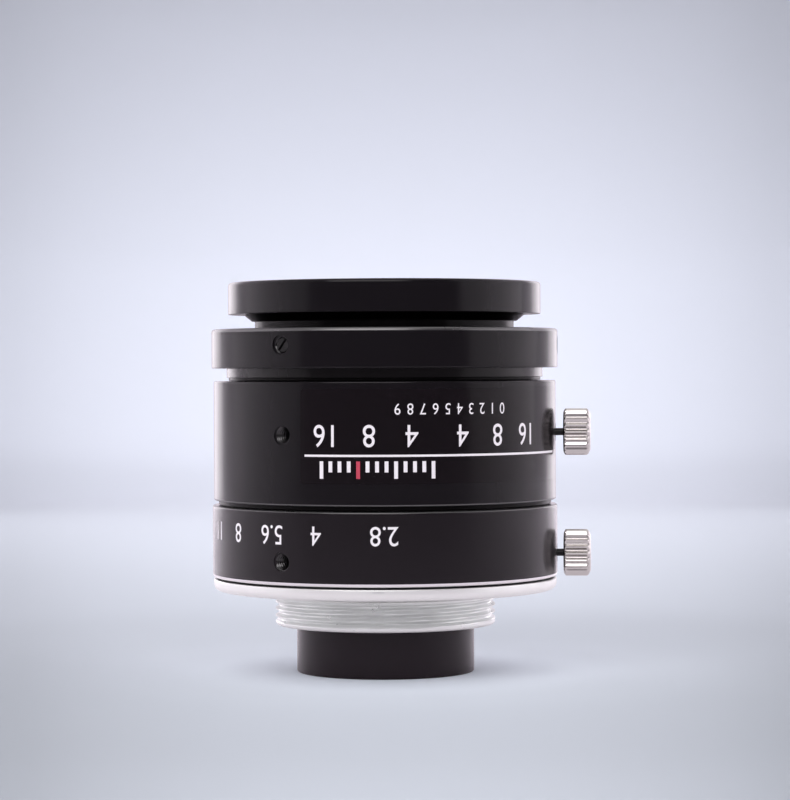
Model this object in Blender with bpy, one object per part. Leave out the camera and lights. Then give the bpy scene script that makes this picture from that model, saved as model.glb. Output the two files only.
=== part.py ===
# Machine vision lens with a C-mount, standing on its rear tube with the front upward.
# Metres, +Z up. Heights count from the rear end, radii from the optical axis,
# and angles are degrees round from the front (-Y), growing to the right.

import math

import bmesh
import bpy
from mathutils import Matrix

# Clearances
seat_gap = 0.0003            # between pieces that seat on each other
pin_gap = 0.0002             # round small pins and screws

# Heights of the outside, from the rear end up
rear_reach = 0.00546         # rear tube beyond the thread's end
thread_length = 0.00404
flange_thickness = 0.00135
iris_ring_gap = 0.0004       # running gap between flange and iris ring
iris_ring_height = 0.00805
barrel_gap = 0.0006          # running gap between iris ring and main barrel
barrel_height = 0.01365
groove_height = 0.00145      # sleeve seen between main barrel and focus ring
focus_ring_height = 0.0045
neck_height = 0.0009
cone_height = 0.0008
front_ring_height = 0.00365

# Radii of the outside
rear_tube_radius = 0.01025
thread_radius = 0.0127       # one inch across
thread_relief_radius = 0.01235
flange_radius = 0.01955
iris_ring_radius = 0.0199
barrel_radius = 0.01975
groove_radius = 0.01825
focus_ring_radius = 0.020
neck_radius = 0.01495
cone_foot_radius = 0.0153
cone_head_radius = 0.0179
front_ring_radius = 0.01805

# Edges of the outside
thread_lead_in = 0.0005
thread_relief_height = 0.0006
seat_groove_depth = 0.0002   # round the boss, so that the seat lies flat
flange_rounding = 0.0009
flange_upper_edge = 0.0002
iris_lower_chamfer = 0.00045
iris_upper_chamfer = 0.0003
barrel_edge = 0.0002
focus_edge = 0.0004
front_edge = 0.00045
rear_tube_edge = 0.0003

# Inner frame, which carries the iris and joins mount and main barrel
frame_radius = 0.0165
frame_bore_radius = 0.0148
frame_foot_radius = 0.0177
frame_foot_height = 0.0010
guide_bore_radius = 0.0133   # guides the front barrel's skirt
frame_roof_thickness = 0.0014
frame_rise = 0.0019          # frame above the lower end of the main barrel
bulkhead_thickness = 0.0012  # inner shelf of the main barrel

# Rear tube and what it holds
rear_bore_radius = 0.0090
rear_stop_radius = 0.0075
rear_collar_thickness = 0.0008
rear_stop_thickness = 0.0015
rear_retainer_height = 0.0012
rear_retainer_inner_radius = 0.0079
rear_spacer_height = 0.0026
spacer_wall = 0.0013

# Iris
blade_count = 5
iris_open_radius = 0.0048    # f/2.8
iris_closed_radius = 0.0009  # f/16
iris_range = math.radians(85)
blade_width = 0.0038
blade_thickness = 0.00018
blade_clearance = 0.00025
blade_reach = math.radians(126)
blade_pivot_radius = 0.0108  # from the optical axis
blade_arm = 0.0058           # from a blade's pivot to its cam pin
blade_head_radius = 0.0009
blade_back = math.radians(8)
blade_pivot_clearance = 0.00025
pivot_post_radius = 0.00045
cam_pin_radius = 0.00035
cam_pin_clearance = 0.00025
cam_pin_bite = 0.6           # share of the drive ring's height
housing_base_thickness = 0.0005
housing_wall = 0.0008
drive_ring_height = 0.0015
drive_ring_inner_radius = 0.0090
washer_thickness = 0.00015
washer_wave = 0.00015
washer_waves = 3
washer_width = 0.0014

# Helicoid and front barrel
thread_wall = 0.00185        # helicoid sleeve, below its shoulder
sleeve_bore_radius = 0.01465
focus_lip_thickness = 0.0010
retainer_thickness = 0.0007
retainer_radius = 0.0159
skirt_wall = 0.0017
skirt_reach = 0.0013         # skirt below the top of the frame's roof
cell_bore_radius = 0.0130
cell_stop_radius = 0.0098
cell_stop_thickness = 0.0018
filter_radius = 0.0165
filter_depth = 0.0034
front_retainer_height = 0.0010
front_retainer_inner_radius = 0.0112
front_retainer_slope = 0.0014
spanner_slot_width = 0.0010
spanner_slot_depth = 0.0004
key_angle = 100
key_width = 0.0016
key_height = 0.0009
key_length = 0.0031
key_bite = 0.0011            # into the skirt

# Glass: edge height, curvature of the upper and the lower face
# A positive curvature bulges out of the glass and a negative one is hollow.
front_glass = {"edge": 0.0022, "upper": 0.045, "lower": -0.030}
second_glass = {"edge": 0.0015, "upper": 0.034, "lower": 0.060}
third_glass = {"edge": 0.0032, "upper": -0.038, "lower": 0.0}
fourth_glass = {"edge": 0.0016, "upper": 0.0, "lower": 0.022}
rear_glass = {"edge": 0.0017, "upper": 0.040, "lower": 0.030}
glass_rim = 0.0016
front_spacer_height = 0.0020
second_spacer_height = 0.0018

# Radial screws
screw_angles = (85, -35, -155)
tapped_radius = 0.0010       # M2
focus_screw_height = 0.0026  # above the focus ring's lower face
barrel_screw_height = 0.0077
iris_screw_height = 0.00245
grub_length = 0.0011
lock_head_radius = 0.00268
lock_head_length = 0.0031
lock_head_chamfer = 0.0004
lock_head_standoff = 0.00075
lock_neck_radius = 0.00065
lock_flutes = 20
lock_flute_depth = 0.00022
lock_pad_length = 0.0006
lock_neck_length = 0.0005     # neck inside the ring

# Axial and link screws
mount_screw_angles = (25, 145, -95)
mount_screw_ring = 0.0161
mount_screw_radius = 0.00055
mount_screw_head_radius = 0.0010
mount_screw_head_height = 0.0006
mount_screw_depth = 0.0011   # into the frame
joint_screw_angles = (40, 160, -80)
joint_screw_ring = 0.0150
joint_screw_radius = 0.00055
joint_screw_head_radius = 0.0010
joint_screw_head_height = 0.0006
link_screw_angle = 150
link_screw_radius = 0.0004
link_screw_head_radius = 0.0009
link_screw_head_height = 0.0006
link_screw_recess = 0.0003
link_screw_depth = 0.0010    # into the drive ring
screw_slot_depth = 0.00025

# Roundness
ring_steps = 44
inner_steps = 32
glass_steps = 24
screw_steps = 12
small_steps = 8
blade_steps = 8
cam_steps = 9
washer_steps = 36
window_steps = 12
arc_steps = 3

# Heights that follow
thread_end = rear_reach
seat = thread_end + thread_length
flange_top = seat + flange_thickness
iris_low = flange_top + iris_ring_gap
iris_high = iris_low + iris_ring_height
barrel_low = iris_high + barrel_gap
barrel_high = barrel_low + barrel_height
focus_low = barrel_high + groove_height
focus_high = focus_low + focus_ring_height
cone_low = focus_high + neck_height
front_low = cone_low + cone_height
front_high = front_low + front_ring_height

frame_low = flange_top + seat_gap
frame_top = barrel_low + frame_rise
roof_low = frame_top - frame_roof_thickness
bulkhead_low = frame_top + seat_gap
bulkhead_top = bulkhead_low + bulkhead_thickness

collar_low = flange_top + seat_gap
collar_top = collar_low + rear_collar_thickness
housing_low = collar_top + seat_gap
housing_floor = housing_low + housing_base_thickness
blade_pitch = blade_thickness + blade_clearance
blades_low = housing_floor + blade_clearance
housing_top = blades_low + blade_count * blade_pitch
drive_low = housing_top + seat_gap
drive_top = drive_low + drive_ring_height
washer_low = drive_top + seat_gap
washer_top = washer_low + 2 * washer_wave + washer_thickness
clamp_low = washer_top + seat_gap
clamp_top = roof_low - seat_gap
link_height = (drive_low + drive_top) / 2

retainer_low = bulkhead_top + seat_gap
retainer_top = retainer_low + retainer_thickness
sleeve_low = retainer_top + seat_gap
sleeve_shoulder = barrel_high + seat_gap
sleeve_top = focus_high - focus_lip_thickness - seat_gap
skirt_low = frame_top - skirt_reach

filter_floor = front_high - filter_depth
front_glass_top = filter_floor - seat_gap
rear_stop_low = collar_top - rear_stop_thickness

# Radii that follow
iris_bore_radius = frame_radius + seat_gap
seat_inner_radius = thread_radius + seat_gap
iris_step_radius = frame_foot_radius + seat_gap
mount_bore_radius = rear_tube_radius + seat_gap
inside_frame_radius = frame_bore_radius - seat_gap
sleeve_radius = sleeve_bore_radius + thread_wall
barrel_bore_radius = sleeve_radius + seat_gap
cell_radius = sleeve_bore_radius - seat_gap
skirt_radius = guide_bore_radius - seat_gap
focus_bore_radius = groove_radius + seat_gap
focus_lip_radius = neck_radius + seat_gap
cell_glass_radius = cell_bore_radius - seat_gap
rear_glass_radius = rear_bore_radius - seat_gap
blade_turn = 2 * math.asin((iris_open_radius - iris_closed_radius) / (2 * blade_pivot_radius))
drive_ring_radius = frame_bore_radius - seat_gap
lock_head_low = iris_ring_radius + lock_head_standoff
lock_reach = lock_head_low + lock_head_length

# The origin is the middle of the foot of the bounding box, so the screws at the
# right move the optical axis to the left of it.
lock_side = math.radians(screw_angles[0])
right_reach = lock_reach * math.sin(lock_side) + lock_head_radius * math.cos(lock_side)
optical_axis_x = (focus_ring_radius - right_reach) / 2


# Materials

def make_material(name, colour, roughness, metallic, transmission=0.0):
    material = bpy.data.materials.new(name)
    material.use_nodes = True
    shader = material.node_tree.nodes["Principled BSDF"]
    shader.inputs["Base Color"].default_value = (*colour, 1.0)
    shader.inputs["Roughness"].default_value = roughness
    shader.inputs["Metallic"].default_value = metallic
    shader.inputs["Transmission Weight"].default_value = transmission
    material.diffuse_color = (*colour, 1.0)
    return material


# Placing

def around(angle):
    return math.radians(angle - 90)


def place(mesh_source, name, material, parent, location=(0, 0, 0), rotation=(0, 0, 0)):
    mesh = mesh_source
    if isinstance(mesh_source, bmesh.types.BMesh):
        bmesh.ops.remove_doubles(mesh_source, verts=mesh_source.verts, dist=1e-7)
        bmesh.ops.recalc_face_normals(mesh_source, faces=mesh_source.faces)
        mesh = bpy.data.meshes.new(name)
        mesh_source.to_mesh(mesh)
        mesh_source.free()
        mesh.shade_smooth()
        mesh.set_sharp_from_angle(angle=math.radians(35))
    thing = bpy.data.objects.new(name, mesh)
    bpy.context.scene.collection.objects.link(thing)
    if material and not mesh.materials:
        mesh.materials.append(material)
    thing.parent = parent
    thing.location = location
    thing.rotation_euler = rotation
    return thing


def place_radially(source, name, material, parent, angle, height):
    # Local Z points outward from the optical axis.
    return place(source, name, material, parent, (0, 0, height), (0, math.pi / 2, around(angle)))


def combine(thing, name, operand_mesh, operation):
    operand = place(operand_mesh, name, None, thing.parent)
    operand.hide_render = True
    operand.display_type = "WIRE"
    modifier = thing.modifiers.new(name, "BOOLEAN")
    modifier.object = operand
    modifier.operation = operation
    modifier.solver = "EXACT"


# Shapes

def eased(corners):
    # Each corner is (radius, height) or (radius, height, easing, facets):
    # one facet gives a chamfer and more give a round edge.
    outline = []
    for index, corner in enumerate(corners):
        if len(corner) == 2 or corner[2] <= 0:
            outline.append(corner[:2])
            continue
        x, z, easing, facets = corner
        before = corners[index - 1]
        after = corners[(index + 1) % len(corners)]
        entry = toward((x, z), before, easing)
        leave = toward((x, z), after, easing)
        for step in range(facets + 1):
            share = step / facets
            # A quadratic curve with the corner as its control point.
            pull = 2 * share * (1 - share)
            start = (1 - share) ** 2
            end = share ** 2
            outline.append((start * entry[0] + pull * x + end * leave[0],
                            start * entry[1] + pull * z + end * leave[1]))
    return outline


def toward(point, target, distance):
    across = target[0] - point[0]
    up = target[1] - point[1]
    length = math.hypot(across, up)
    return point[0] + across * distance / length, point[1] + up * distance / length


def turned(outline, steps):
    # Spins a closed outline of radii and heights round the Z axis.
    shape = bmesh.new()
    points = [shape.verts.new((radius, 0, height)) for radius, height in outline]
    edges = [shape.edges.new((points[index - 1], point)) for index, point in enumerate(points)]
    bmesh.ops.spin(shape, geom=points + edges, cent=(0, 0, 0), axis=(0, 0, 1),
                   angle=2 * math.pi, steps=steps, use_merge=True)
    bmesh.ops.remove_doubles(shape, verts=shape.verts, dist=1e-7)
    loose = [face for face in shape.faces if face.calc_area() < 1e-14]
    bmesh.ops.delete(shape, geom=loose, context="FACES")
    bare = [edge for edge in shape.edges if not edge.link_faces]
    bmesh.ops.delete(shape, geom=bare, context="EDGES")
    return shape


def ring_outline(inner, outer, low, high):
    return [(inner, low), (outer, low), (outer, high), (inner, high)]


def circle(radius, steps, centre=(0, 0), start=0.0):
    return [(centre[0] + radius * math.cos(start + 2 * math.pi * step / steps),
             centre[1] + radius * math.sin(start + 2 * math.pi * step / steps))
            for step in range(steps)]


def arc(centre, radius, first, last, steps):
    return [(centre[0] + radius * math.cos(first + (last - first) * step / steps),
             centre[1] + radius * math.sin(first + (last - first) * step / steps))
            for step in range(steps + 1)]


def add_loop(shape, points, height):
    corners = [shape.verts.new((x, y, height)) for x, y in points]
    edges = [shape.edges.new((corners[index - 1], corner)) for index, corner in enumerate(corners)]
    return corners, edges


def plate(outline, holes, low, high):
    # A flat outline with holes, as thick as low to high.
    shape = bmesh.new()
    edges = add_loop(shape, outline, high)[1]
    for hole in holes:
        edges += add_loop(shape, hole, high)[1]
    bmesh.ops.triangle_fill(shape, use_beauty=True, use_dissolve=False, edges=edges)
    sunk = bmesh.ops.extrude_face_region(shape, geom=shape.faces[:])
    lower = [item for item in sunk["geom"] if isinstance(item, bmesh.types.BMVert)]
    bmesh.ops.translate(shape, verts=lower, vec=(0, 0, low - high))
    return shape


def bar(length, width, low, high, first=0.0):
    # A box that starts at first along X and is centred on Y.
    half = width / 2
    outline = [(first, -half), (first + length, -half), (first + length, half), (first, half)]
    return plate(outline, [], low, high)


def rod(radius, low, high, steps=screw_steps):
    return plate(circle(radius, steps, start=math.pi / steps), [], low, high)


def merged(shapes):
    whole = bmesh.new()
    for shape, turn in shapes:
        bmesh.ops.transform(shape, matrix=turn, verts=shape.verts)
        part = bpy.data.meshes.new("part")
        shape.to_mesh(part)
        shape.free()
        whole.from_mesh(part)
        bpy.data.meshes.remove(part)
    return whole


def radial_turn(angle, height):
    spin = Matrix.Rotation(around(angle), 4, "Z") @ Matrix.Rotation(math.pi / 2, 4, "Y")
    return Matrix.Translation((0, 0, height)) @ spin


def axial_turn(angle, radius, height=0.0):
    return Matrix.Rotation(around(angle), 4, "Z") @ Matrix.Translation((radius, 0, height))


def countersink(radius, head_radius, head_height, depth):
    # A hole for a countersunk screw, down from a face at height 0.
    shank = radius + pin_gap
    head = head_radius + pin_gap
    return turned([(0, -depth), (shank, -depth), (shank, -head_height - pin_gap),
                   (head, -screw_slot_depth - pin_gap), (head, seat_gap), (0, seat_gap)],
                  screw_steps)


def loft(shape, sections, steps):
    # Rings of one count of points joined by bands; the last ring is left open.
    rings = []
    for radius, height in sections:
        corners, edges = add_loop(shape, circle(radius, steps, start=math.pi / steps), height)
        if rings:
            bmesh.ops.bridge_loops(shape, edges=rings[-1][1] + edges)
        rings.append((corners, edges))
    shape.faces.new(rings[0][0])
    return rings[-1]


def raise_face(shape, face, height):
    raised = bmesh.ops.extrude_face_region(shape, geom=[face])
    tops = [item for item in raised["geom"] if isinstance(item, bmesh.types.BMVert)]
    bmesh.ops.translate(shape, verts=tops, vec=(0, 0, height))
    bmesh.ops.delete(shape, geom=[face], context="FACES_ONLY")


def slotted(sections, slot_depth):
    # A round screw whose last face has a straight driver slot across it.
    shape = bmesh.new()
    corners = loft(shape, sections, screw_steps)[0]
    half = screw_steps // 2
    upper_side = shape.faces.new(corners[:half])
    lower_side = shape.faces.new(corners[half:])
    shape.faces.new((corners[0], corners[half - 1], corners[half], corners[-1]))
    for side in (upper_side, lower_side):
        raise_face(shape, side, slot_depth)
    return shape


# Where a lens face lies at a radius, below the height of its middle
def sag(curvature, radius):
    if curvature == 0:
        return 0.0
    size = abs(curvature)
    drop = size - math.sqrt(size * size - radius * radius)
    return drop if curvature > 0 else -drop


def glass_outline(glass, radius, top):
    # The edge is a cylinder from top down, and each face is part of a sphere.
    # A flat rim round each face takes the spacer or the retaining ring.
    low = top - glass["edge"]
    clear = radius - glass_rim
    upper = [(radius, top)]
    lower = [(radius, low)]
    for step in range(arc_steps, -1, -1):
        reach = clear * step / arc_steps
        if glass["upper"] or step in (0, arc_steps):
            upper.append((reach, top + sag(glass["upper"], clear) - sag(glass["upper"], reach)))
        if glass["lower"] or step in (0, arc_steps):
            lower.append((reach, low - sag(glass["lower"], clear) + sag(glass["lower"], reach)))
    return lower[::-1] + upper


# Mount and rear group

def build_c_mount(axis, material):
    relief_low = seat - thread_relief_height
    outline = eased([
        (mount_bore_radius, thread_end), (thread_radius, thread_end, thread_lead_in, 1),
        (thread_radius, relief_low), (thread_relief_radius, relief_low),
        (thread_relief_radius, seat + seat_groove_depth),
        (seat_inner_radius, seat + seat_groove_depth), (seat_inner_radius, seat),
        (flange_radius, seat, flange_rounding, arc_steps),
        (flange_radius, flange_top, flange_upper_edge, 1), (mount_bore_radius, flange_top)])
    mount = place(turned(outline, ring_steps), "c_mount", material, axis)
    sink = countersink(mount_screw_radius, mount_screw_head_radius, mount_screw_head_height,
                       flange_thickness + seat_gap)
    bmesh.ops.transform(sink, matrix=Matrix.Rotation(math.pi, 4, "X"), verts=sink.verts)
    holes = [(sink.copy(), axial_turn(angle, mount_screw_ring, seat))
             for angle in mount_screw_angles]
    combine(mount, "mount_screw_sinks", merged(holes), "DIFFERENCE")


def build_mount_screws(axis, material):
    length = flange_thickness + seat_gap + mount_screw_depth
    screws = [(mount_screw_radius, -length),
              (mount_screw_radius, -mount_screw_head_height),
              (mount_screw_head_radius, -screw_slot_depth - pin_gap / 2)]
    shape = slotted(screws, screw_slot_depth)
    for index, angle in enumerate(mount_screw_angles):
        spot = on_circle(mount_screw_ring, angle, seat)
        screw = place(shape, f"mount_screw_{index + 1}", material, axis, spot, (math.pi, 0, 0))
        shape = screw.data


def build_rear_tube(axis, material):
    outline = eased([
        (rear_bore_radius, 0), (rear_tube_radius, 0, rear_tube_edge, 1),
        (rear_tube_radius, collar_low), (inside_frame_radius, collar_low),
        (inside_frame_radius, collar_top), (rear_stop_radius, collar_top),
        (rear_stop_radius, rear_stop_low), (rear_bore_radius, rear_stop_low)])
    place(turned(outline, inner_steps), "rear_tube", material, axis)


def build_glass(name, glass, radius, top, axis, material):
    place(turned(glass_outline(glass, radius, top), glass_steps), name, material, axis)
    return top - glass["edge"] - seat_gap


def build_spacer(name, radius, top, height, axis, material):
    outline = ring_outline(radius - spacer_wall, radius, top - height, top)
    place(turned(outline, glass_steps), name, material, axis)
    return top - height - seat_gap


def build_rear_group(axis, glass, spacer, black):
    top = rear_stop_low - seat_gap
    top = build_glass("fourth_element", fourth_glass, rear_glass_radius, top, axis, glass)
    top = build_spacer("rear_spacer", rear_glass_radius, top, rear_spacer_height, axis, spacer)
    top = build_glass("rear_element", rear_glass, rear_glass_radius, top, axis, glass)
    low = top - rear_retainer_height
    inner = rear_retainer_inner_radius
    outline = ring_outline(inner, rear_glass_radius, low, top)
    retainer = place(turned(outline, inner_steps), "rear_retainer", black, axis)
    add_spanner_slots(retainer, rear_glass_radius, low - seat_gap, low + spanner_slot_depth)


def add_spanner_slots(retainer, radius, low, high):
    reach = radius + seat_gap
    groove = bar(2 * reach, spanner_slot_width, low, high, -reach)
    combine(retainer, f"{retainer.name}_slots", groove, "DIFFERENCE")


# Frame and iris

def build_frame(axis, material):
    foot_top = frame_low + frame_foot_height
    outline = [(frame_bore_radius, frame_low), (frame_foot_radius, frame_low),
               (frame_foot_radius, foot_top), (frame_radius, foot_top),
               (frame_radius, frame_top), (guide_bore_radius, frame_top),
               (guide_bore_radius, roof_low), (frame_bore_radius, roof_low)]
    frame = place(turned(outline, inner_steps), "inner_frame", material, axis)
    thread = rod(mount_screw_radius + pin_gap, frame_low - seat_gap,
                 frame_low + mount_screw_depth + seat_gap)
    through = rod(joint_screw_radius + pin_gap, roof_low - seat_gap, frame_top + seat_gap)
    cuts = [(thread.copy(), axial_turn(angle, mount_screw_ring)) for angle in mount_screw_angles]
    cuts += [(through.copy(), axial_turn(angle, joint_screw_ring)) for angle in joint_screw_angles]
    cuts.append((link_window(), Matrix.Identity(4)))
    combine(frame, "frame_cuts", merged(cuts), "DIFFERENCE")


def link_window():
    # The link screw travels in this window as the iris ring turns.
    half = link_screw_radius + pin_gap
    first = around(link_screw_angle) - half / frame_bore_radius
    last = around(link_screw_angle) + iris_range + half / frame_bore_radius
    inner = frame_bore_radius - seat_gap
    outer = frame_radius + seat_gap
    window = arc((0, 0), outer, first, last, window_steps)
    window += arc((0, 0), inner, last, first, window_steps)
    return plate(window, [], link_height - half, link_height + half)


def build_housing(axis, material):
    inner = inside_frame_radius - housing_wall
    outline = [(iris_open_radius, housing_low), (inside_frame_radius, housing_low),
               (inside_frame_radius, housing_top), (inner, housing_top),
               (inner, housing_floor), (iris_open_radius, housing_floor)]
    housing = place(turned(outline, inner_steps), "iris_housing", material, axis)
    posts = []
    for index in range(blade_count):
        top = blade_height(index) + blade_thickness + blade_clearance / 2
        post = rod(pivot_post_radius, housing_low + housing_base_thickness / 2, top, small_steps)
        posts.append((post, blade_turn_at(index) @ Matrix.Translation((blade_pivot_radius, 0, 0))))
    combine(housing, "pivot_posts", merged(posts), "UNION")


def blade_height(index):
    return blades_low + index * blade_pitch


def blade_turn_at(index):
    return Matrix.Rotation(2 * math.pi * index / blade_count, 4, "Z")


def cam_pin_at(turn):
    # Middle of the first blade's cam pin once the blade has turned.
    return (blade_pivot_radius - blade_arm * math.sin(turn), blade_arm * math.cos(turn))


def blade_outline():
    # Measured from the optical axis, with the pivot on +X.
    outer = iris_open_radius + blade_width
    back = blade_back
    tip = ((iris_open_radius + outer) / 2 * math.cos(blade_reach),
           (iris_open_radius + outer) / 2 * math.sin(blade_reach))
    pivot = (blade_pivot_radius, 0)
    pin = cam_pin_at(0)
    outline = arc((0, 0), iris_open_radius, -back, blade_reach, blade_steps)
    outline += arc(tip, blade_width / 2, blade_reach + math.pi, blade_reach, 4)[1:-1]
    outline += arc((0, 0), outer, blade_reach, math.atan2(pin[1], pin[0]) + back, blade_steps)
    outline += arc(pin, blade_head_radius, math.radians(110), 0, 3)
    outline += arc(pivot, blade_head_radius, 0, math.radians(-110), 3)
    outline.append((outer * math.cos(back), -outer * math.sin(back)))
    return outline


def build_blades(axis, material):
    shift = (-blade_pivot_radius, 0, 0)
    for index in range(blade_count):
        height = blade_height(index)
        hole = circle(pivot_post_radius + blade_pivot_clearance, small_steps, (blade_pivot_radius, 0))
        pin = circle(cam_pin_radius, small_steps, cam_pin_at(0))
        blade = plate(blade_outline(), [hole, pin], height, height + blade_thickness)
        fill_pin(blade, height, height + blade_thickness, drive_low + drive_ring_height * cam_pin_bite)
        bmesh.ops.translate(blade, verts=blade.verts, vec=shift)
        angle = 2 * math.pi * index / blade_count
        spot = (blade_pivot_radius * math.cos(angle), blade_pivot_radius * math.sin(angle), 0)
        place(blade, f"iris_blade_{index + 1}", material, axis, spot, (0, 0, angle))


def fill_pin(blade, low, high, top):
    # The plate leaves an open hole where the pin stands: its wall becomes the pin's.
    middle = cam_pin_at(0)
    rim = {low: [], high: []}
    for edge in blade.edges:
        ends = [vert.co for vert in edge.verts]
        near = all(abs(math.dist(end[:2], middle) - cam_pin_radius) < 1e-6 for end in ends)
        for height in rim:
            if near and all(abs(end.z - height) < 1e-6 for end in ends):
                rim[height].append(edge)
    walls = {face for edge in rim[low] for face in edge.link_faces
             if face in {other for upper in rim[high] for other in upper.link_faces}}
    bmesh.ops.delete(blade, geom=list(walls), context="FACES_ONLY")
    bmesh.ops.edgeloop_fill(blade, edges=rim[low])
    cap = bmesh.ops.edgeloop_fill(blade, edges=rim[high])["faces"][0]
    raise_face(blade, cap, top - high)


def cam_slot():
    # The cam pin's path in the ring's own frame, as a slot with round ends.
    half = cam_pin_radius + cam_pin_clearance
    path = []
    for step in range(cam_steps + 1):
        share = step / cam_steps
        x, y = cam_pin_at(share * blade_turn)
        ring_turn = -share * iris_range
        path.append((x * math.cos(ring_turn) - y * math.sin(ring_turn),
                     x * math.sin(ring_turn) + y * math.cos(ring_turn)))
    sides = {1: [], -1: []}
    headings = []
    for index in range(len(path)):
        before = path[max(index - 1, 0)]
        after = path[min(index + 1, cam_steps)]
        headings.append(math.atan2(after[1] - before[1], after[0] - before[0]))
    for point, heading in zip(path, headings):
        for side, points in sides.items():
            square = heading + side * math.pi / 2
            points.append((point[0] + half * math.cos(square), point[1] + half * math.sin(square)))
    far = arc(path[-1], half, headings[-1] - math.pi / 2, headings[-1] + math.pi / 2, 4)[1:-1]
    near = arc(path[0], half, headings[0] + math.pi / 2, headings[0] + 3 * math.pi / 2, 4)[1:-1]
    return sides[-1] + far + sides[1][::-1] + near


def build_drive_ring(axis, material):
    slots = []
    for index in range(blade_count):
        angle = 2 * math.pi * index / blade_count
        slots.append([(x * math.cos(angle) - y * math.sin(angle),
                       x * math.sin(angle) + y * math.cos(angle)) for x, y in cam_slot()])
    inner = circle(drive_ring_inner_radius, inner_steps)
    ring = plate(circle(drive_ring_radius, inner_steps), [inner] + slots, drive_low, drive_top)
    drive = place(ring, "iris_drive_ring", material, axis)
    socket = rod(link_screw_radius + pin_gap, drive_ring_radius - link_screw_depth - pin_gap,
                 drive_ring_radius + seat_gap)
    cut = merged([(socket, radial_turn(link_screw_angle, link_height))])
    combine(drive, "link_socket", cut, "DIFFERENCE")


def build_washer(axis, material):
    outer = inside_frame_radius
    inner = outer - washer_width
    shape = bmesh.new()
    loops = []
    for step in range(washer_steps):
        angle = 2 * math.pi * step / washer_steps
        low = washer_low + washer_wave * (1 + math.sin(washer_waves * angle))
        section = ring_outline(inner, outer, low, low + washer_thickness)
        loops.append([shape.verts.new((radius * math.cos(angle), radius * math.sin(angle), height))
                      for radius, height in section])
    for index, loop in enumerate(loops):
        ahead = loops[(index + 1) % washer_steps]
        for corner in range(4):
            shape.faces.new((loop[corner - 1], loop[corner], ahead[corner], ahead[corner - 1]))
    place(shape, "wave_washer", material, axis)


def build_clamp_ring(axis, material):
    outline = ring_outline(guide_bore_radius, inside_frame_radius, clamp_low, clamp_top)
    place(turned(outline, inner_steps), "iris_clamp_ring", material, axis)


def radial_holes(radius, inner, outer, height):
    return [(rod(radius, inner, outer), radial_turn(angle, height)) for angle in screw_angles]


def build_iris_ring(axis, black, steel):
    step_top = frame_low + frame_foot_height + seat_gap
    outline = eased([
        (iris_step_radius, iris_low), (iris_ring_radius, iris_low, iris_lower_chamfer, 1),
        (iris_ring_radius, iris_high, iris_upper_chamfer, 1), (iris_bore_radius, iris_high),
        (iris_bore_radius, step_top), (iris_step_radius, step_top)])
    ring = place(turned(outline, ring_steps), "iris_ring", black, axis)
    inner = frame_radius
    outer = iris_ring_radius + seat_gap
    cuts = radial_holes(tapped_radius, inner, outer, iris_low + iris_screw_height)
    head_low = iris_ring_radius - link_screw_recess - link_screw_head_height
    shank = link_screw_radius + pin_gap
    head = link_screw_head_radius + pin_gap
    step = head_low - pin_gap
    hole = turned([(0, inner), (shank, inner), (shank, step), (head, step), (head, outer),
                   (0, outer)], screw_steps)
    cuts.append((hole, radial_turn(link_screw_angle, link_height)))
    sections = [(link_screw_radius, drive_ring_radius - link_screw_depth),
                (link_screw_radius, head_low), (link_screw_head_radius, head_low),
                (link_screw_head_radius, iris_ring_radius - link_screw_recess - screw_slot_depth)]
    place_radially(slotted(sections, screw_slot_depth), "iris_link_screw", steel, axis,
                   link_screw_angle, link_height)
    combine(ring, "iris_ring_holes", merged(cuts), "DIFFERENCE")


# Main barrel and focusing

def build_main_barrel(axis, material):
    outline = eased([
        (iris_bore_radius, barrel_low), (barrel_radius, barrel_low, barrel_edge, 1),
        (barrel_radius, barrel_high, barrel_edge, 1), (barrel_bore_radius, barrel_high),
        (barrel_bore_radius, bulkhead_top), (guide_bore_radius, bulkhead_top),
        (guide_bore_radius, bulkhead_low), (iris_bore_radius, bulkhead_low)])
    barrel = place(turned(outline, ring_steps), "main_barrel", material, axis)
    cuts = radial_holes(tapped_radius, frame_radius, barrel_radius + seat_gap,
                        barrel_low + barrel_screw_height)
    sink = countersink(joint_screw_radius, joint_screw_head_radius, joint_screw_head_height,
                       bulkhead_thickness + seat_gap)
    cuts += [(sink.copy(), axial_turn(angle, joint_screw_ring, bulkhead_top))
             for angle in joint_screw_angles]
    notch_end = skirt_radius + key_length - key_bite + seat_gap
    notch = bar(notch_end - skirt_radius, key_width + 2 * seat_gap, bulkhead_low - seat_gap,
                bulkhead_top + seat_gap, skirt_radius)
    cuts.append((notch, Matrix.Rotation(around(key_angle), 4, "Z")))
    combine(barrel, "main_barrel_cuts", merged(cuts), "DIFFERENCE")


def build_guide_key(axis, material):
    low = bulkhead_low
    key = bar(key_length, key_width, low, low + key_height, skirt_radius - key_bite)
    place(key, "guide_key", material, axis, rotation=(0, 0, around(key_angle)))


def build_joint_screws(axis, material):
    length = bulkhead_thickness + seat_gap + frame_roof_thickness
    sections = [(joint_screw_radius, -length), (joint_screw_radius, -joint_screw_head_height),
                (joint_screw_head_radius, -screw_slot_depth - pin_gap / 2)]
    shape = slotted(sections, screw_slot_depth)
    for index, angle in enumerate(joint_screw_angles):
        spot = on_circle(joint_screw_ring, angle, bulkhead_top)
        screw = place(shape, f"barrel_screw_{index + 1}", material, axis, spot)
        shape = screw.data


def on_circle(radius, angle, height):
    return (radius * math.cos(around(angle)), radius * math.sin(around(angle)), height)


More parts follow.
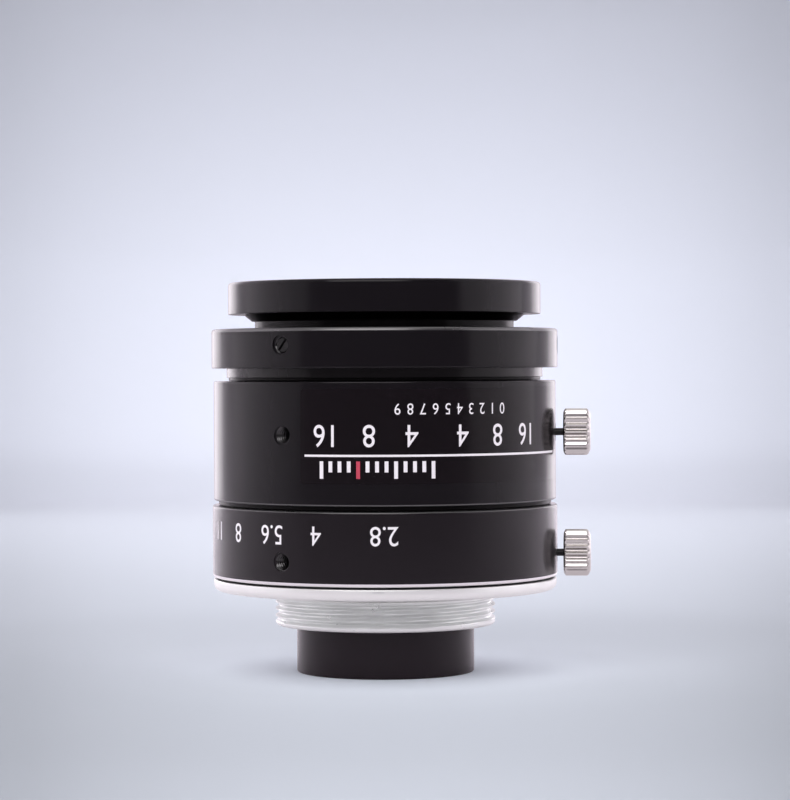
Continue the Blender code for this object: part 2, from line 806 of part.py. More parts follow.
def build_helicoid(axis, brass, steel):
    outline = [(sleeve_bore_radius, sleeve_low), (sleeve_radius, sleeve_low),
               (sleeve_radius, sleeve_shoulder), (groove_radius, sleeve_shoulder),
               (groove_radius, sleeve_top), (sleeve_bore_radius, sleeve_top)]
    place(turned(outline, ring_steps), "helicoid_sleeve", brass, axis)
    retainer = place(turned(ring_outline(guide_bore_radius, retainer_radius, retainer_low,
                                         retainer_top), inner_steps),
                     "helicoid_retainer", steel, axis)
    add_spanner_slots(retainer, retainer_radius, retainer_low - seat_gap,
                      retainer_low + spanner_slot_depth)


def build_focus_ring(axis, black, steel):
    lip_low = focus_high - focus_lip_thickness
    outline = eased([
        (focus_bore_radius, focus_low), (focus_ring_radius, focus_low, barrel_edge, 1),
        (focus_ring_radius, focus_high, focus_edge, 1), (focus_lip_radius, focus_high),
        (focus_lip_radius, lip_low), (focus_bore_radius, lip_low)])
    ring = place(turned(outline, ring_steps), "focus_ring", black, axis)
    height = focus_low + focus_screw_height
    cuts = radial_holes(tapped_radius, groove_radius, focus_ring_radius + seat_gap, height)
    combine(ring, "focus_ring_holes", merged(cuts), "DIFFERENCE")
    tip = groove_radius + seat_gap
    radius = tapped_radius - pin_gap
    shape = slotted([(radius, tip), (radius, tip + grub_length - screw_slot_depth)],
                    screw_slot_depth)
    for index, angle in enumerate(screw_angles):
        grub = place_radially(shape, f"focus_grub_screw_{index + 1}", steel, axis, angle, height)
        shape = grub.data


def build_front_barrel(axis, material):
    stop_high = front_stack_low()
    stop_low = stop_high - cell_stop_thickness
    inner = skirt_radius - skirt_wall
    outline = eased([
        (inner, skirt_low), (skirt_radius, skirt_low), (skirt_radius, sleeve_low),
        (cell_radius, sleeve_low), (cell_radius, sleeve_top + seat_gap),
        (neck_radius, sleeve_top + seat_gap), (neck_radius, cone_low),
        (cone_foot_radius, cone_low), (cone_head_radius, front_low),
        (front_ring_radius, front_low, barrel_edge / 2, 1),
        (front_ring_radius, front_high, front_edge, arc_steps), (filter_radius, front_high),
        (filter_radius, filter_floor), (cell_bore_radius, filter_floor),
        (cell_bore_radius, stop_high), (cell_stop_radius, stop_high),
        (cell_stop_radius, stop_low), (inner, stop_low)])
    barrel = place(turned(outline, ring_steps), "front_barrel", material, axis)
    keyway = bar(skirt_wall + 2 * seat_gap, key_width + 2 * seat_gap, skirt_low - seat_gap,
                 bulkhead_low + key_height + seat_gap, inner - seat_gap)
    cut = merged([(keyway, Matrix.Rotation(around(key_angle), 4, "Z"))])
    combine(barrel, "keyway", cut, "DIFFERENCE")


def front_stack_low():
    glasses = front_glass["edge"] + second_glass["edge"] + third_glass["edge"]
    spacers = front_spacer_height + second_spacer_height
    return front_glass_top - glasses - spacers - 5 * seat_gap


def build_front_group(axis, glass, spacer, black):
    radius = cell_glass_radius
    top = build_glass("front_element", front_glass, radius, front_glass_top, axis, glass)
    top = build_spacer("front_spacer", radius, top, front_spacer_height, axis, spacer)
    top = build_glass("second_element", second_glass, radius, top, axis, glass)
    top = build_spacer("second_spacer", radius, top, second_spacer_height, axis, spacer)
    build_glass("third_element", third_glass, radius, top, axis, glass)
    low = filter_floor + seat_gap
    high = low + front_retainer_height
    outer = filter_radius - seat_gap
    inner = front_retainer_inner_radius
    outline = [(inner, low), (outer, low), (outer, high), (inner + front_retainer_slope, high)]
    retainer = place(turned(outline, inner_steps), "front_retainer", black, axis)
    add_spanner_slots(retainer, outer, high - spanner_slot_depth, high + seat_gap)


# Knurled lock screws

def fluted(radius, depth):
    points = []
    for step in range(2 * lock_flutes):
        reach = radius - depth if step % 2 else radius
        angle = math.pi * step / lock_flutes
        points.append((reach * math.cos(angle), reach * math.sin(angle)))
    return points


def lock_screw_shape(tip):
    # Local Z is the distance from the optical axis.
    thread = tapped_radius - pin_gap
    neck_low = barrel_radius - lock_neck_length
    shape = bmesh.new()
    loop = loft(shape, [(thread, tip), (thread, neck_low), (lock_neck_radius, neck_low),
                        (lock_neck_radius, lock_head_low)], screw_steps)[1]
    heights = (lock_head_low, lock_reach - lock_head_chamfer, lock_reach)
    reaches = (lock_head_radius, lock_head_radius, lock_head_radius - lock_head_chamfer)
    for height, reach in zip(heights, reaches):
        flute = lock_flute_depth if height < lock_reach else 0
        corners, edges = add_loop(shape, fluted(reach, flute), height)
        bmesh.ops.bridge_loops(shape, edges=loop + edges)
        loop = edges
    shape.faces.new(corners)
    return shape


def build_lock(name, height, axis, steel, nylon):
    pad_low = frame_radius + seat_gap
    pad_high = pad_low + lock_pad_length
    angle = screw_angles[0]
    pad = rod(tapped_radius - pin_gap, pad_low, pad_high)
    place_radially(pad, f"{name}_lock_pad", nylon, axis, angle, height)
    screw = lock_screw_shape(pad_high + seat_gap)
    place_radially(screw, f"{name}_lock_screw", steel, axis, angle, height)


# Assembly

def build():
    for old in list(bpy.data.objects):
        bpy.data.objects.remove(old)
    axis = bpy.data.objects.new("optical_axis", None)
    bpy.context.scene.collection.objects.link(axis)
    axis.location.x = optical_axis_x

    chrome = make_material("satin_chrome", (0.74, 0.73, 0.74), 0.28, 1.0)
    black = make_material("black_anodised", (0.018, 0.016, 0.018), 0.38, 0.2)
    matt = make_material("matt_black", (0.012, 0.012, 0.013), 0.7, 0.0)
    steel = make_material("blackened_steel", (0.04, 0.04, 0.045), 0.4, 0.9)
    nickel = make_material("nickel", (0.66, 0.64, 0.60), 0.25, 1.0)
    brass = make_material("brass", (0.62, 0.45, 0.20), 0.3, 1.0)
    spring = make_material("spring_steel", (0.55, 0.55, 0.56), 0.3, 1.0)
    glass = make_material("coated_glass", (0.90, 0.93, 0.95), 0.02, 0.0, 1.0)
    nylon = make_material("nylon", (0.80, 0.79, 0.74), 0.5, 0.0)

    build_c_mount(axis, chrome)
    build_mount_screws(axis, steel)
    build_rear_tube(axis, black)
    build_rear_group(axis, glass, matt, black)
    build_frame(axis, matt)
    build_housing(axis, matt)
    build_blades(axis, steel)
    build_drive_ring(axis, brass)
    build_washer(axis, spring)
    build_clamp_ring(axis, matt)
    build_iris_ring(axis, black, steel)
    build_lock("iris", iris_low + iris_screw_height, axis, nickel, nylon)
    build_main_barrel(axis, black)
    build_joint_screws(axis, steel)
    build_guide_key(axis, spring)
    build_helicoid(axis, brass, matt)
    build_focus_ring(axis, black, steel)
    build_lock("focus", barrel_low + barrel_screw_height, axis, nickel, nylon)
    build_front_barrel(axis, black)
    build_front_group(axis, glass, matt, matt)
    bpy.context.view_layer.update()


build()
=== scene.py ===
import math

import bpy
import bmesh
import numpy as np
from mathutils import Matrix, Vector


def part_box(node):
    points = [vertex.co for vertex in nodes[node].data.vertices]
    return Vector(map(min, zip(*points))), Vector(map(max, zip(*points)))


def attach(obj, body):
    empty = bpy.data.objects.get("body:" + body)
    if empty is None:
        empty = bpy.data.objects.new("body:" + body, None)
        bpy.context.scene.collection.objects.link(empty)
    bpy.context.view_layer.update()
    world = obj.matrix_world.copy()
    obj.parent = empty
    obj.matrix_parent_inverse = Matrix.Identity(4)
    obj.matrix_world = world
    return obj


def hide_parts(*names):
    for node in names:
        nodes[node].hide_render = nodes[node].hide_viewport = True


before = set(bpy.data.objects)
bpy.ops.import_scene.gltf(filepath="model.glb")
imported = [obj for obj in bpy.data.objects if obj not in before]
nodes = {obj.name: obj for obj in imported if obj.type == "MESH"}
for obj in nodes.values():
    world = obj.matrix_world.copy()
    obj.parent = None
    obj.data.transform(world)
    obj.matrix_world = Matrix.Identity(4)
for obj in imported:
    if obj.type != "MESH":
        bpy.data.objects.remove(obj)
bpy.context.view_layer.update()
print("frame loaded:", len(nodes), "nodes")

mm = 0.001
tubeLow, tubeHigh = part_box("rear_tube")
axisX = (tubeLow.x + tubeHigh.x) / 2  # the optical axis, in metres
axisPlace = np.array((axisX, 0.0, 0.0))


def span(node):
    # lowest and highest height of a CAD node, in millimetres
    low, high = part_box(node)
    return low.z / mm, high.z / mm


# Sizes that several pieces share, in millimetres. Angles go round from the front, in degrees,
# and grow to the right
lens = {
    "turnSteps": 240,
    "holeAngles": (85, -35, -155),
    "holeRadius": 1.0,
    "holePitch": 0.4,
    "holeThread": 0.17,
    "holeMouth": 1.08,
    "mouthDepth": 0.5,
    "cutInner": 16.4,     # where the hole cutters of iris ring and barrel begin
    "irisHole": 2.45,     # above the ring's lower edge, as the next two are
    "barrelHole": 7.7,
    "focusHole": 2.6,
    "irisRadius": 19.9,
    "barrelRadius": 19.75,
    "focusRadius": 19.985,
}
mountLow, mountHigh = span("c_mount")
irisLow, irisHigh = span("iris_ring")
barrelLow, barrelHigh = span("main_barrel")
focusLow, focusHigh = span("focus_ring")
frontLow, frontHigh = span("front_barrel")


# Materials

def newMaterial(name):
    made = bpy.data.materials.new(name)
    made.use_nodes = True
    tree = made.node_tree
    shader = tree.nodes["Principled BSDF"]
    return made, tree, shader


def objectPlace(tree, scale):
    # object coordinates, stretched by one factor for each axis
    place = tree.nodes.new("ShaderNodeTexCoord")
    mapping = tree.nodes.new("ShaderNodeMapping")
    mapping.inputs["Scale"].default_value = scale
    tree.links.new(place.outputs["Object"], mapping.inputs["Vector"])
    return mapping.outputs["Vector"]


def noise(tree, scale, detail=2.0):
    texture = tree.nodes.new("ShaderNodeTexNoise")
    texture.inputs["Scale"].default_value = 1.0
    texture.inputs["Detail"].default_value = detail
    tree.links.new(objectPlace(tree, scale), texture.inputs["Vector"])
    return texture.outputs["Fac"]


def between(tree, value, low, high):
    # spreads a texture's middle range over low to high
    spread = tree.nodes.new("ShaderNodeMapRange")
    spread.inputs["From Min"].default_value = 0.3
    spread.inputs["From Max"].default_value = 0.7
    spread.inputs["To Min"].default_value = low
    spread.inputs["To Max"].default_value = high
    tree.links.new(value, spread.inputs["Value"])
    return spread.outputs["Result"]


def surfaceFinish(name, colour, roughness, metallic=0.0, specular=0.5, grain=(900, 900, 900),
                  grainDepth=0.0, turning=0.0, wear=0.04, bloom=0.0, film=0.0):
    # one finish: a slightly uneven gloss, fine grain, and turning marks that run round the axis;
    # bloom is a pale sheen at grazing angles and film a thin clear coat
    made, tree, shader = newMaterial(name)
    shader.inputs["Base Color"].default_value = (*colour, 1)
    shader.inputs["Metallic"].default_value = metallic
    shader.inputs["Specular IOR Level"].default_value = specular
    shader.inputs["Sheen Weight"].default_value = bloom
    shader.inputs["Sheen Roughness"].default_value = 0.3
    shader.inputs["Coat Weight"].default_value = film
    shader.inputs["Coat IOR"].default_value = 1.28
    shader.inputs["Coat Roughness"].default_value = 0.17
    gloss = between(tree, noise(tree, (260, 260, 260), 3.0), roughness - wear, roughness + wear)
    tree.links.new(gloss, shader.inputs["Roughness"])
    normal = None
    for depth, scale in ((grainDepth, grain), (turning, (40, 40, 9000))):
        if depth:
            bump = tree.nodes.new("ShaderNodeBump")
            bump.inputs["Strength"].default_value = depth
            bump.inputs["Distance"].default_value = 0.00002
            tree.links.new(noise(tree, scale), bump.inputs["Height"])
            if normal:
                tree.links.new(normal, bump.inputs["Normal"])
            normal = bump.outputs["Normal"]
    if normal:
        tree.links.new(normal, shader.inputs["Normal"])
    return made


def glassFinish(name, tint):
    # coated glass: clear, with a coloured sheen from its coating
    made, tree, shader = newMaterial(name)
    shader.inputs["Base Color"].default_value = (*tint, 1)
    shader.inputs["Transmission Weight"].default_value = 1.0
    shader.inputs["IOR"].default_value = 1.6
    shader.inputs["Coat Weight"].default_value = 0.5
    shader.inputs["Coat Tint"].default_value = (0.55, 0.72, 0.95, 1)
    gloss = between(tree, noise(tree, (120, 120, 120)), 0.01, 0.03)
    tree.links.new(gloss, shader.inputs["Roughness"])
    return made


anodised = surfaceFinish("anodisedBlack", (0.0042, 0.0031, 0.0046), 0.34, specular=0.02, film=1.0,
                         grain=(5200, 5200, 5200), grainDepth=0.20, turning=0.12, bloom=0.03)
# painted shade: a near-black finish for the neck under the front ring, the groove at the foot of
# the focus sleeve and the lip under the main barrel, where only shade falls
paintedShadeBlack = surfaceFinish("paintedShadeBlack", (0.0014, 0.0009, 0.0012), 0.40, specular=0.02, film=0.35)
# painted light: a lighter copy of the anodised black, with more sheen, standing in for the light
# that the iris ring catches from the floor below
floorLitRingBlack = surfaceFinish("floorLitRingBlack", (0.0078, 0.0056, 0.0076), 0.36, specular=0.05, film=1.0,
                          grain=(5200, 5200, 5200), grainDepth=0.20, turning=0.12, bloom=0.09)
burnished = surfaceFinish("burnishedSteel", (0.008, 0.0075, 0.008), 0.30, specular=0.25)
bareEdge = surfaceFinish("wornEdge", (0.13, 0.13, 0.13), 0.30, metallic=1.0, turning=0.1)
tubeBlack = surfaceFinish("tubeBlack", (0.0100, 0.0064, 0.0092), 0.42, specular=0.05, film=0.8,
                          grain=(5200, 5200, 5200), grainDepth=0.25, turning=0.08, bloom=0.05)
tappedBlack = surfaceFinish("tappedBlack", (0.005, 0.004, 0.005), 0.20, specular=0.7)
mattBlack = surfaceFinish("mattBlack", (0.008, 0.008, 0.0085), 0.75, specular=0.2,
                          grain=(4200, 4200, 4200), grainDepth=0.3)
chrome = surfaceFinish("satinChrome", (0.82, 0.84, 0.82), 0.40, metallic=0.75,
                       grain=(3600, 3600, 3600), grainDepth=0.08, turning=0.10)
threadChrome = surfaceFinish("threadChrome", (0.76, 0.79, 0.77), 0.30, metallic=0.85,
                             grain=(3600, 3600, 3600), grainDepth=0.06)
polished = surfaceFinish("turnedEdge", (0.80, 0.79, 0.80), 0.16, metallic=1.0, turning=0.05)
nickel = surfaceFinish("nickel", (0.56, 0.54, 0.52), 0.17, metallic=1.0, grainDepth=0.05)
blackSteel = surfaceFinish("blackSteel", (0.030, 0.029, 0.031), 0.38, metallic=0.7,
                           grainDepth=0.1)
brass = surfaceFinish("brass", (0.60, 0.43, 0.19), 0.28, metallic=1.0, turning=0.15)
sleeveBlack = surfaceFinish("sleeveBlack", (0.0045, 0.0033, 0.0042), 0.30, specular=0.05,
                            turning=0.35, film=0.8)
spring = surfaceFinish("springSteel", (0.55, 0.55, 0.57), 0.25, metallic=1.0, grainDepth=0.05)
nylon = surfaceFinish("nylon", (0.70, 0.69, 0.62), 0.5, grainDepth=0.1)
whiteInk = surfaceFinish("whiteInk", (0.90, 0.90, 0.92), 0.45, grainDepth=0.15)
redInk = surfaceFinish("redInk", (0.56, 0.055, 0.10), 0.45, grainDepth=0.15)
labelBlack = surfaceFinish("labelBlack", (0.0046, 0.0028, 0.0042), 0.22, specular=0.02,
                           bloom=0.03, film=0.9, grainDepth=0.08, wear=0.02)
glass = glassFinish("coatedGlass", (0.93, 0.97, 0.95))
print("materials made")


# Shapes

def quads(rows, columns, wrapRows, wrapColumns=True):
    # one quad for each cell of a grid of points; a wrapped direction joins its last line
    # to its first
    row, column = np.meshgrid(np.arange(rows if wrapRows else rows - 1),
                              np.arange(columns if wrapColumns else columns - 1), indexing="ij")
    nextRow, nextColumn = (row + 1) % rows, (column + 1) % columns
    corners = (row * columns + column, row * columns + nextColumn,
               nextRow * columns + nextColumn, nextRow * columns + column)
    return np.stack(corners, axis=-1).reshape(-1, 4)


def newObject(name, points, faces, *finishes):
    # points are millimetres from the optical axis; the mesh is stored in metres in the frame
    data = bpy.data.meshes.new(name)
    placed = points.reshape(-1, 3) * mm + axisPlace
    data.from_pydata(placed.tolist(), [], faces.tolist() if hasattr(faces, "tolist") else faces)
    for finish in finishes:
        data.materials.append(finish)
    shape = bmesh.new()
    shape.from_mesh(data)
    bmesh.ops.remove_doubles(shape, verts=shape.verts, dist=1e-8)
    bmesh.ops.recalc_face_normals(shape, faces=shape.faces)
    shape.to_mesh(data)
    shape.free()
    made = bpy.data.objects.new(name, data)
    bpy.context.scene.collection.objects.link(made)
    return made


def smooth(piece, angle=32):
    piece.data.shade_smooth()
    piece.data.set_sharp_from_angle(angle=math.radians(angle))
    return piece


def joined(piece, body, slotName, *replaced):
    # the piece rides on its body and stands for the CAD nodes
    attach(piece, body)
    if replaced:
        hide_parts(*replaced)
    return piece


def rounded(corners, arcSteps=4, support=0.05):
    # each corner (radius, height, size) is cut back by its size and bridged by a quadratic arc;
    # a support row on either side keeps the shading of the flat faces flat
    made = []
    for index, (radius, height, size) in enumerate(corners):
        here = np.array((radius, height), float)
        if not size:
            made.append(here[None])
            continue
        before = np.array(corners[index - 1][:2]) - here
        after = np.array(corners[(index + 1) % len(corners)][:2]) - here
        before, after = (v / np.linalg.norm(v) for v in (before, after))
        t = np.linspace(0, 1, arcSteps + 1)[:, None]
        start, end = here + before * size, here + after * size
        arc = (1 - t) ** 2 * start + 2 * t * (1 - t) * here + t ** 2 * end
        made += [(start + before * support)[None], arc, (end + after * support)[None]]
    return np.concatenate(made)


def withRows(profile, radius, count):
    # adds evenly spaced rows to the longest straight wall at one radius, for a thread to be cut in
    nextRow = np.roll(profile, -1, axis=0)
    onWall = (abs(profile[:, 0] - radius) < 1e-6) & (abs(nextRow[:, 0] - radius) < 1e-6)
    length = np.where(onWall, abs(nextRow[:, 1] - profile[:, 1]), 0)
    at = int(length.argmax())
    heights = np.linspace(profile[at, 1], nextRow[at, 1], count + 2)[1:-1]
    added = np.stack((np.full(count, radius), heights), axis=1)
    return np.insert(profile, at + 1, added, axis=0)


def threadWave(turns):
    # a vee thread with a flat crest (1) and a flat root (0); turns counts pitches
    phase = turns % 1
    return np.clip(1.45 * (1 - abs(2 * phase - 1)) - 0.225, 0, 1)


def turned(name, profile, finishes, steps=0, thread=None):
    # profile (radius, height) turned round the axis; thread is (radius, low, high, depth, pitch),
    # where the wall at that radius sinks by depth times one minus the thread wave
    steps = steps or lens["turnSteps"]
    angle = np.arange(steps) * 2 * np.pi / steps
    radius = np.repeat(profile[:, :1], steps, axis=1)
    height = np.repeat(profile[:, 1:], steps, axis=1)
    if thread:
        wall, low, high, depth, pitch = thread
        inside = (abs(radius - wall) < 1e-6) & (height > low) & (height < high)
        runOut = 0.6 * pitch
        fade = np.clip((height - low) / runOut, 0, 1) * np.clip((high - height) / runOut, 0, 1)
        wave = threadWave(height / pitch - angle / (2 * np.pi))
        radius = radius - np.where(inside, depth * fade * (1 - wave), 0)
    points = np.stack((radius * np.sin(angle), -radius * np.cos(angle), height), axis=-1)
    made = newObject(name, points, quads(len(profile), steps, True), *finishes)
    return smooth(made)


def radially(points, angle, height):
    # local Z becomes the direction away from the axis, local X runs round it, local Y is up
    a = math.radians(angle)
    out = np.array((math.sin(a), -math.cos(a), 0.0))
    along = np.array((math.cos(a), math.sin(a), 0.0))
    up = np.array((0.0, 0.0, 1.0))
    return points[..., :1] * along + points[..., 1:2] * up + points[..., 2:] * out + up * height


def rod(radius, low, high, steps=32, thread=None, mouth=None):
    # a closed rod along local Z; thread is (depth, pitch), cut inwards as a helix;
    # mouth is (height, radius), where the rod widens to that radius above that height
    rows = 2 + (int((high - low) / thread[1] * 8) if thread else 0)
    height = np.linspace(low, high, rows)[:, None]
    angle = np.arange(steps)[None] * 2 * np.pi / steps
    reach = np.full((rows, steps), float(radius))
    if thread:
        reach = reach - thread[0] * (1 - threadWave(height / thread[1] - angle / (2 * np.pi)))
    if mouth:
        reach = np.where(height > mouth[0], mouth[1], reach)
    wall = np.stack((reach * np.cos(angle), reach * np.sin(angle), height + 0 * angle), axis=-1)
    faces = quads(rows, steps, False).tolist()
    faces += [list(range(steps))[::-1], [(rows - 1) * steps + i for i in range(steps)]]
    return wall.reshape(-1, 3), faces


def boxShape(size, centre):
    # a closed box with three side lengths
    signs = np.array([(x, y, z) for z in (-1, 1) for y in (-1, 1) for x in (-1, 1)], float)
    faces = [[0, 2, 3, 1], [4, 5, 7, 6], [0, 1, 5, 4], [2, 6, 7, 3], [0, 4, 6, 2], [1, 3, 7, 5]]
    return signs * np.array(size) / 2 + np.array(centre), faces


def together(shapes):
    # several (points, faces) as one
    points, faces, first = [], [], 0
    for these, theirFaces in shapes:
        points.append(these)
        faces += [[first + i for i in face] for face in theirFaces]
        first += len(these)
    return np.concatenate(points), faces


def finalMesh(holder):
    # a new mesh of the object as its modifiers or its font leave it
    graph = bpy.context.evaluated_depsgraph_get()
    return bpy.data.meshes.new_from_object(holder.evaluated_get(graph))


def settled(piece):
    # the piece's modifiers become its mesh
    result = finalMesh(piece)
    piece.modifiers.clear()
    old, piece.data = piece.data, result
    bpy.data.meshes.remove(old)
    result.name = piece.name
    return smooth(piece)


def cut(piece, shapes):
    # takes the shapes out of the piece for good
    cutter = newObject("cutter", *together(shapes))
    modifier = piece.modifiers.new("cut", "BOOLEAN")
    modifier.operation = "DIFFERENCE"
    modifier.solver = "EXACT"
    modifier.object = cutter
    settled(piece)
    bpy.data.meshes.remove(cutter.data)
    return piece


def tapped(height, inner, outer):
    # the three threaded M2 holes of a ring
    points, faces = rod(lens["holeRadius"], inner, outer, 28,
                        (lens["holeThread"], lens["holePitch"]),
                        (outer - lens["mouthDepth"], lens["holeMouth"]))
    return [(radially(points, angle, height), faces) for angle in lens["holeAngles"]]


def facesOf(piece):
    # each face's centre in millimetres from the axis, its normal and the index of its finish
    polygons = piece.data.polygons
    count = len(polygons)
    centres, normals, held = np.zeros(count * 3), np.zeros(count * 3), np.zeros(count, np.int32)
    polygons.foreach_get("center", centres)
    polygons.foreach_get("normal", normals)
    polygons.foreach_get("material_index", held)
    return centres.reshape(-1, 3) / mm - axisPlace / mm, normals.reshape(-1, 3), held


def paintEdge(piece, low, high, inner, index=1):
    # what lies between two heights, outside a radius, gets the finish with that index
    centres, normals, held = facesOf(piece)
    radius = np.hypot(centres[:, 0], centres[:, 1])
    held[(centres[:, 2] > low) & (centres[:, 2] < high) & (radius > inner)] = index
    piece.data.polygons.foreach_set("material_index", held)


def paintHoles(piece, height, index):
    # the threaded walls of the three holes get the finish with that index
    centres, normals, held = facesOf(piece)
    for angle in lens["holeAngles"]:
        a = math.radians(angle)
        out = centres[:, 0] * math.sin(a) - centres[:, 1] * math.cos(a)
        along = centres[:, 0] * math.cos(a) + centres[:, 1] * math.sin(a)
        near = np.hypot(along, centres[:, 2] - height) < lens["holeRadius"] * 0.999
        facing = abs(normals[:, 0] * math.sin(a) - normals[:, 1] * math.cos(a))
        held[near & (out > 0) & (facing < 0.8)] = index
    piece.data.polygons.foreach_set("material_index", held)


# Mount: flange and threaded boss in one piece

mount = {
    "bore": 10.55,
    "threadRadius": 12.7,
    "threadDepth": 0.43,
    "threadPitch": 0.79375,   # 32 turns to the inch
    "relief": 12.35,
    "reliefHeight": 0.6,      # of the plain neck between thread and seat
    "flange": 19.8,
    "flangeThickness": 1.35,
    "seatInner": 13.0,
    "seatGroove": 0.2,
    "flangeRounding": 0.9,
    "markAngle": -2.3,
    "screwAngles": (25, 145, -95),
    "screwCircle": 16.1,
    "screwHole": 0.75,
    "screwSink": 1.18,
    "sinkDepth": 0.55,
}


def buildMount():
    seat = mountHigh - mount["flangeThickness"]
    reliefLow = seat - mount["reliefHeight"]
    profile = rounded([
        (mount["bore"], mountLow, 0.1), (mount["threadRadius"], mountLow, 0.45),
        (mount["threadRadius"], reliefLow, 0.08), (mount["relief"], reliefLow, 0.08),
        (mount["relief"], seat + mount["seatGroove"], 0.05),
        (mount["seatInner"], seat + mount["seatGroove"], 0.05), (mount["seatInner"], seat, 0.05),
        (mount["flange"], seat, mount["flangeRounding"]),
        (mount["flange"], mountHigh, 0.15), (mount["bore"], mountHigh, 0.1)], 6, 0.03)
    profile = withRows(profile, mount["threadRadius"], 40)
    thread = (mount["threadRadius"], mountLow + 0.4, reliefLow - 0.05,
              mount["threadDepth"], mount["threadPitch"])
    piece = turned("mountFlange", profile, [chrome, threadChrome], 300, thread)
    sinks = []
    for angle in mount["screwAngles"]:
        a = math.radians(angle)
        centre = mount["screwCircle"] * np.array((math.sin(a), -math.cos(a), 0))
        for radius, low, high in ((mount["screwHole"], seat - 0.2, mountHigh + 0.2),
                                  (mount["screwSink"], seat - 0.3, seat + mount["sinkDepth"])):
            points, faces = rod(radius, low, high)
            sinks.append((points + centre, faces))
    cut(piece, sinks)
    paintEdge(piece, mountLow + 0.1, reliefLow - 0.1, mount["relief"] - 0.2)
    joined(piece, "base", "satin_chrome", "c_mount")


buildMount()
print("mount made")


# Rear tube, which the lens stands on

tube = {
    "radius": 10.25,
    "bore": 9.0,
    "collar": 14.5,
    "collarHeight": 0.8,
    "stop": 7.5,
    "stopHeight": 1.5,
}


def buildRearTube():
    low, high = span("rear_tube")
    collar, stop = high - tube["collarHeight"], high - tube["stopHeight"]
    profile = rounded([
        (tube["bore"], low, 0.12), (tube["radius"], low, 0.25), (tube["radius"], collar, 0.05),
        (tube["collar"], collar, 0.1), (tube["collar"], high, 0.1), (tube["stop"], high, 0.1),
        (tube["stop"], stop, 0.1), (tube["bore"], stop, 0.05)])
    joined(turned("rearTube", profile, [tubeBlack]), "base", "black_anodised", "rear_tube")


buildRearTube()


# Iris ring, main barrel and focus ring

irisRing = {
    "bore": 16.8,
    "counterbore": 18.0,
    "counterboreHeight": 1.15,
    "lowered": 0.2,       # how far the lower edge hangs below the CAD ring's
    "lowerRounding": 0.40,
    "upperRounding": 0.25,
    "linkAngle": 150,
    "linkHeight": 4.9,
    "linkHole": 0.6,
    "linkSink": 1.1,
    "linkHoleEnd": 19.2,
    "sinkFloor": 18.8,
}


def buildIrisRing():
    radius, bore, counterbore = lens["irisRadius"], irisRing["bore"], irisRing["counterbore"]
    stepTop = irisLow + irisRing["counterboreHeight"]
    edgeLow = irisLow - irisRing["lowered"]
    profile = rounded([
        (counterbore, edgeLow, 0.05), (radius, edgeLow, irisRing["lowerRounding"]),
        (radius, irisHigh, irisRing["upperRounding"]), (bore, irisHigh, 0.05),
        (bore, stepTop, 0.05), (counterbore, stepTop, 0.05)])
    # the iris ring wears the lighter copy of the black: painted light from the floor
    piece = turned("irisRing", profile, [floorLitRingBlack, polished, tappedBlack, bareEdge])
    inner, outer = lens["cutInner"], radius + 0.3
    cuts = tapped(irisLow + lens["irisHole"], inner, outer)
    link = irisLow + irisRing["linkHeight"]
    for size, low, high in ((irisRing["linkHole"], inner, irisRing["linkHoleEnd"]),
                            (irisRing["linkSink"], irisRing["sinkFloor"], outer)):
        points, faces = rod(size, low, high)
        cuts.append((radially(points, irisRing["linkAngle"], link), faces))
    cut(piece, cuts)
    paintEdge(piece, edgeLow - 0.01, edgeLow + 0.36, radius - 0.45)
    paintEdge(piece, irisHigh - 0.18, irisHigh + 0.01, radius - 0.22, 3)
    paintHoles(piece, irisLow + lens["irisHole"], 2)
    joined(piece, "iris", "black_anodised", "iris_ring")


mainBarrel = {
    "bore": 16.8,
    "rounding": 0.18,
    "lipInner": 17.6,
    "lipOuter": 19.2,
    "lipGap": 0.1,        # between the lip and the iris ring
    "bulkheadBore": 13.3,
    "bulkheadThickness": 1.2,
    "bulkheadGap": 0.3,   # between the bulkhead and the inner frame
}


def buildMainBarrel():
    radius, bore, hole = lens["barrelRadius"], mainBarrel["bore"], mainBarrel["bulkheadBore"]
    bulkhead = span("inner_frame")[1] + mainBarrel["bulkheadGap"]
    bulkheadTop = bulkhead + mainBarrel["bulkheadThickness"]
    lip = irisHigh + mainBarrel["lipGap"]
    profile = rounded([
        (mainBarrel["lipInner"], barrelLow, 0.05), (mainBarrel["lipInner"], lip, 0.05),
        (mainBarrel["lipOuter"], lip, 0.1), (mainBarrel["lipOuter"], barrelLow, 0.05),
        (radius, barrelLow, mainBarrel["rounding"]), (radius, barrelHigh, mainBarrel["rounding"]),
        (bore, barrelHigh, 0.1), (bore, bulkheadTop, 0.05), (hole, bulkheadTop, 0.05),
        (hole, bulkhead, 0.05), (bore, bulkhead, 0.05), (bore, barrelLow, 0.05)])
    piece = turned("mainBarrel", profile, [anodised, bareEdge, tappedBlack, paintedShadeBlack])
    cut(piece, tapped(barrelLow + lens["barrelHole"], lens["cutInner"], radius + 0.3))
    paintEdge(piece, barrelLow - 0.01, barrelLow + 0.16, radius - 0.17)
    # painted shade: the lip under the barrel turns near-black, standing for the shade in the gap
    # above the iris ring
    paintEdge(piece, lip - 0.01, barrelLow - 0.01, 17.0, 3)
    paintHoles(piece, barrelLow + lens["barrelHole"], 2)
    joined(piece, "base", "black_anodised", "main_barrel")


focusRing = {
    "bore": 18.55,
    "lipInner": 15.25,
    "lipThickness": 1.0,
    "lowerRounding": 0.18,
    "upperRounding": 0.40,
}
neckLow = focusHigh - focusRing["lipThickness"]


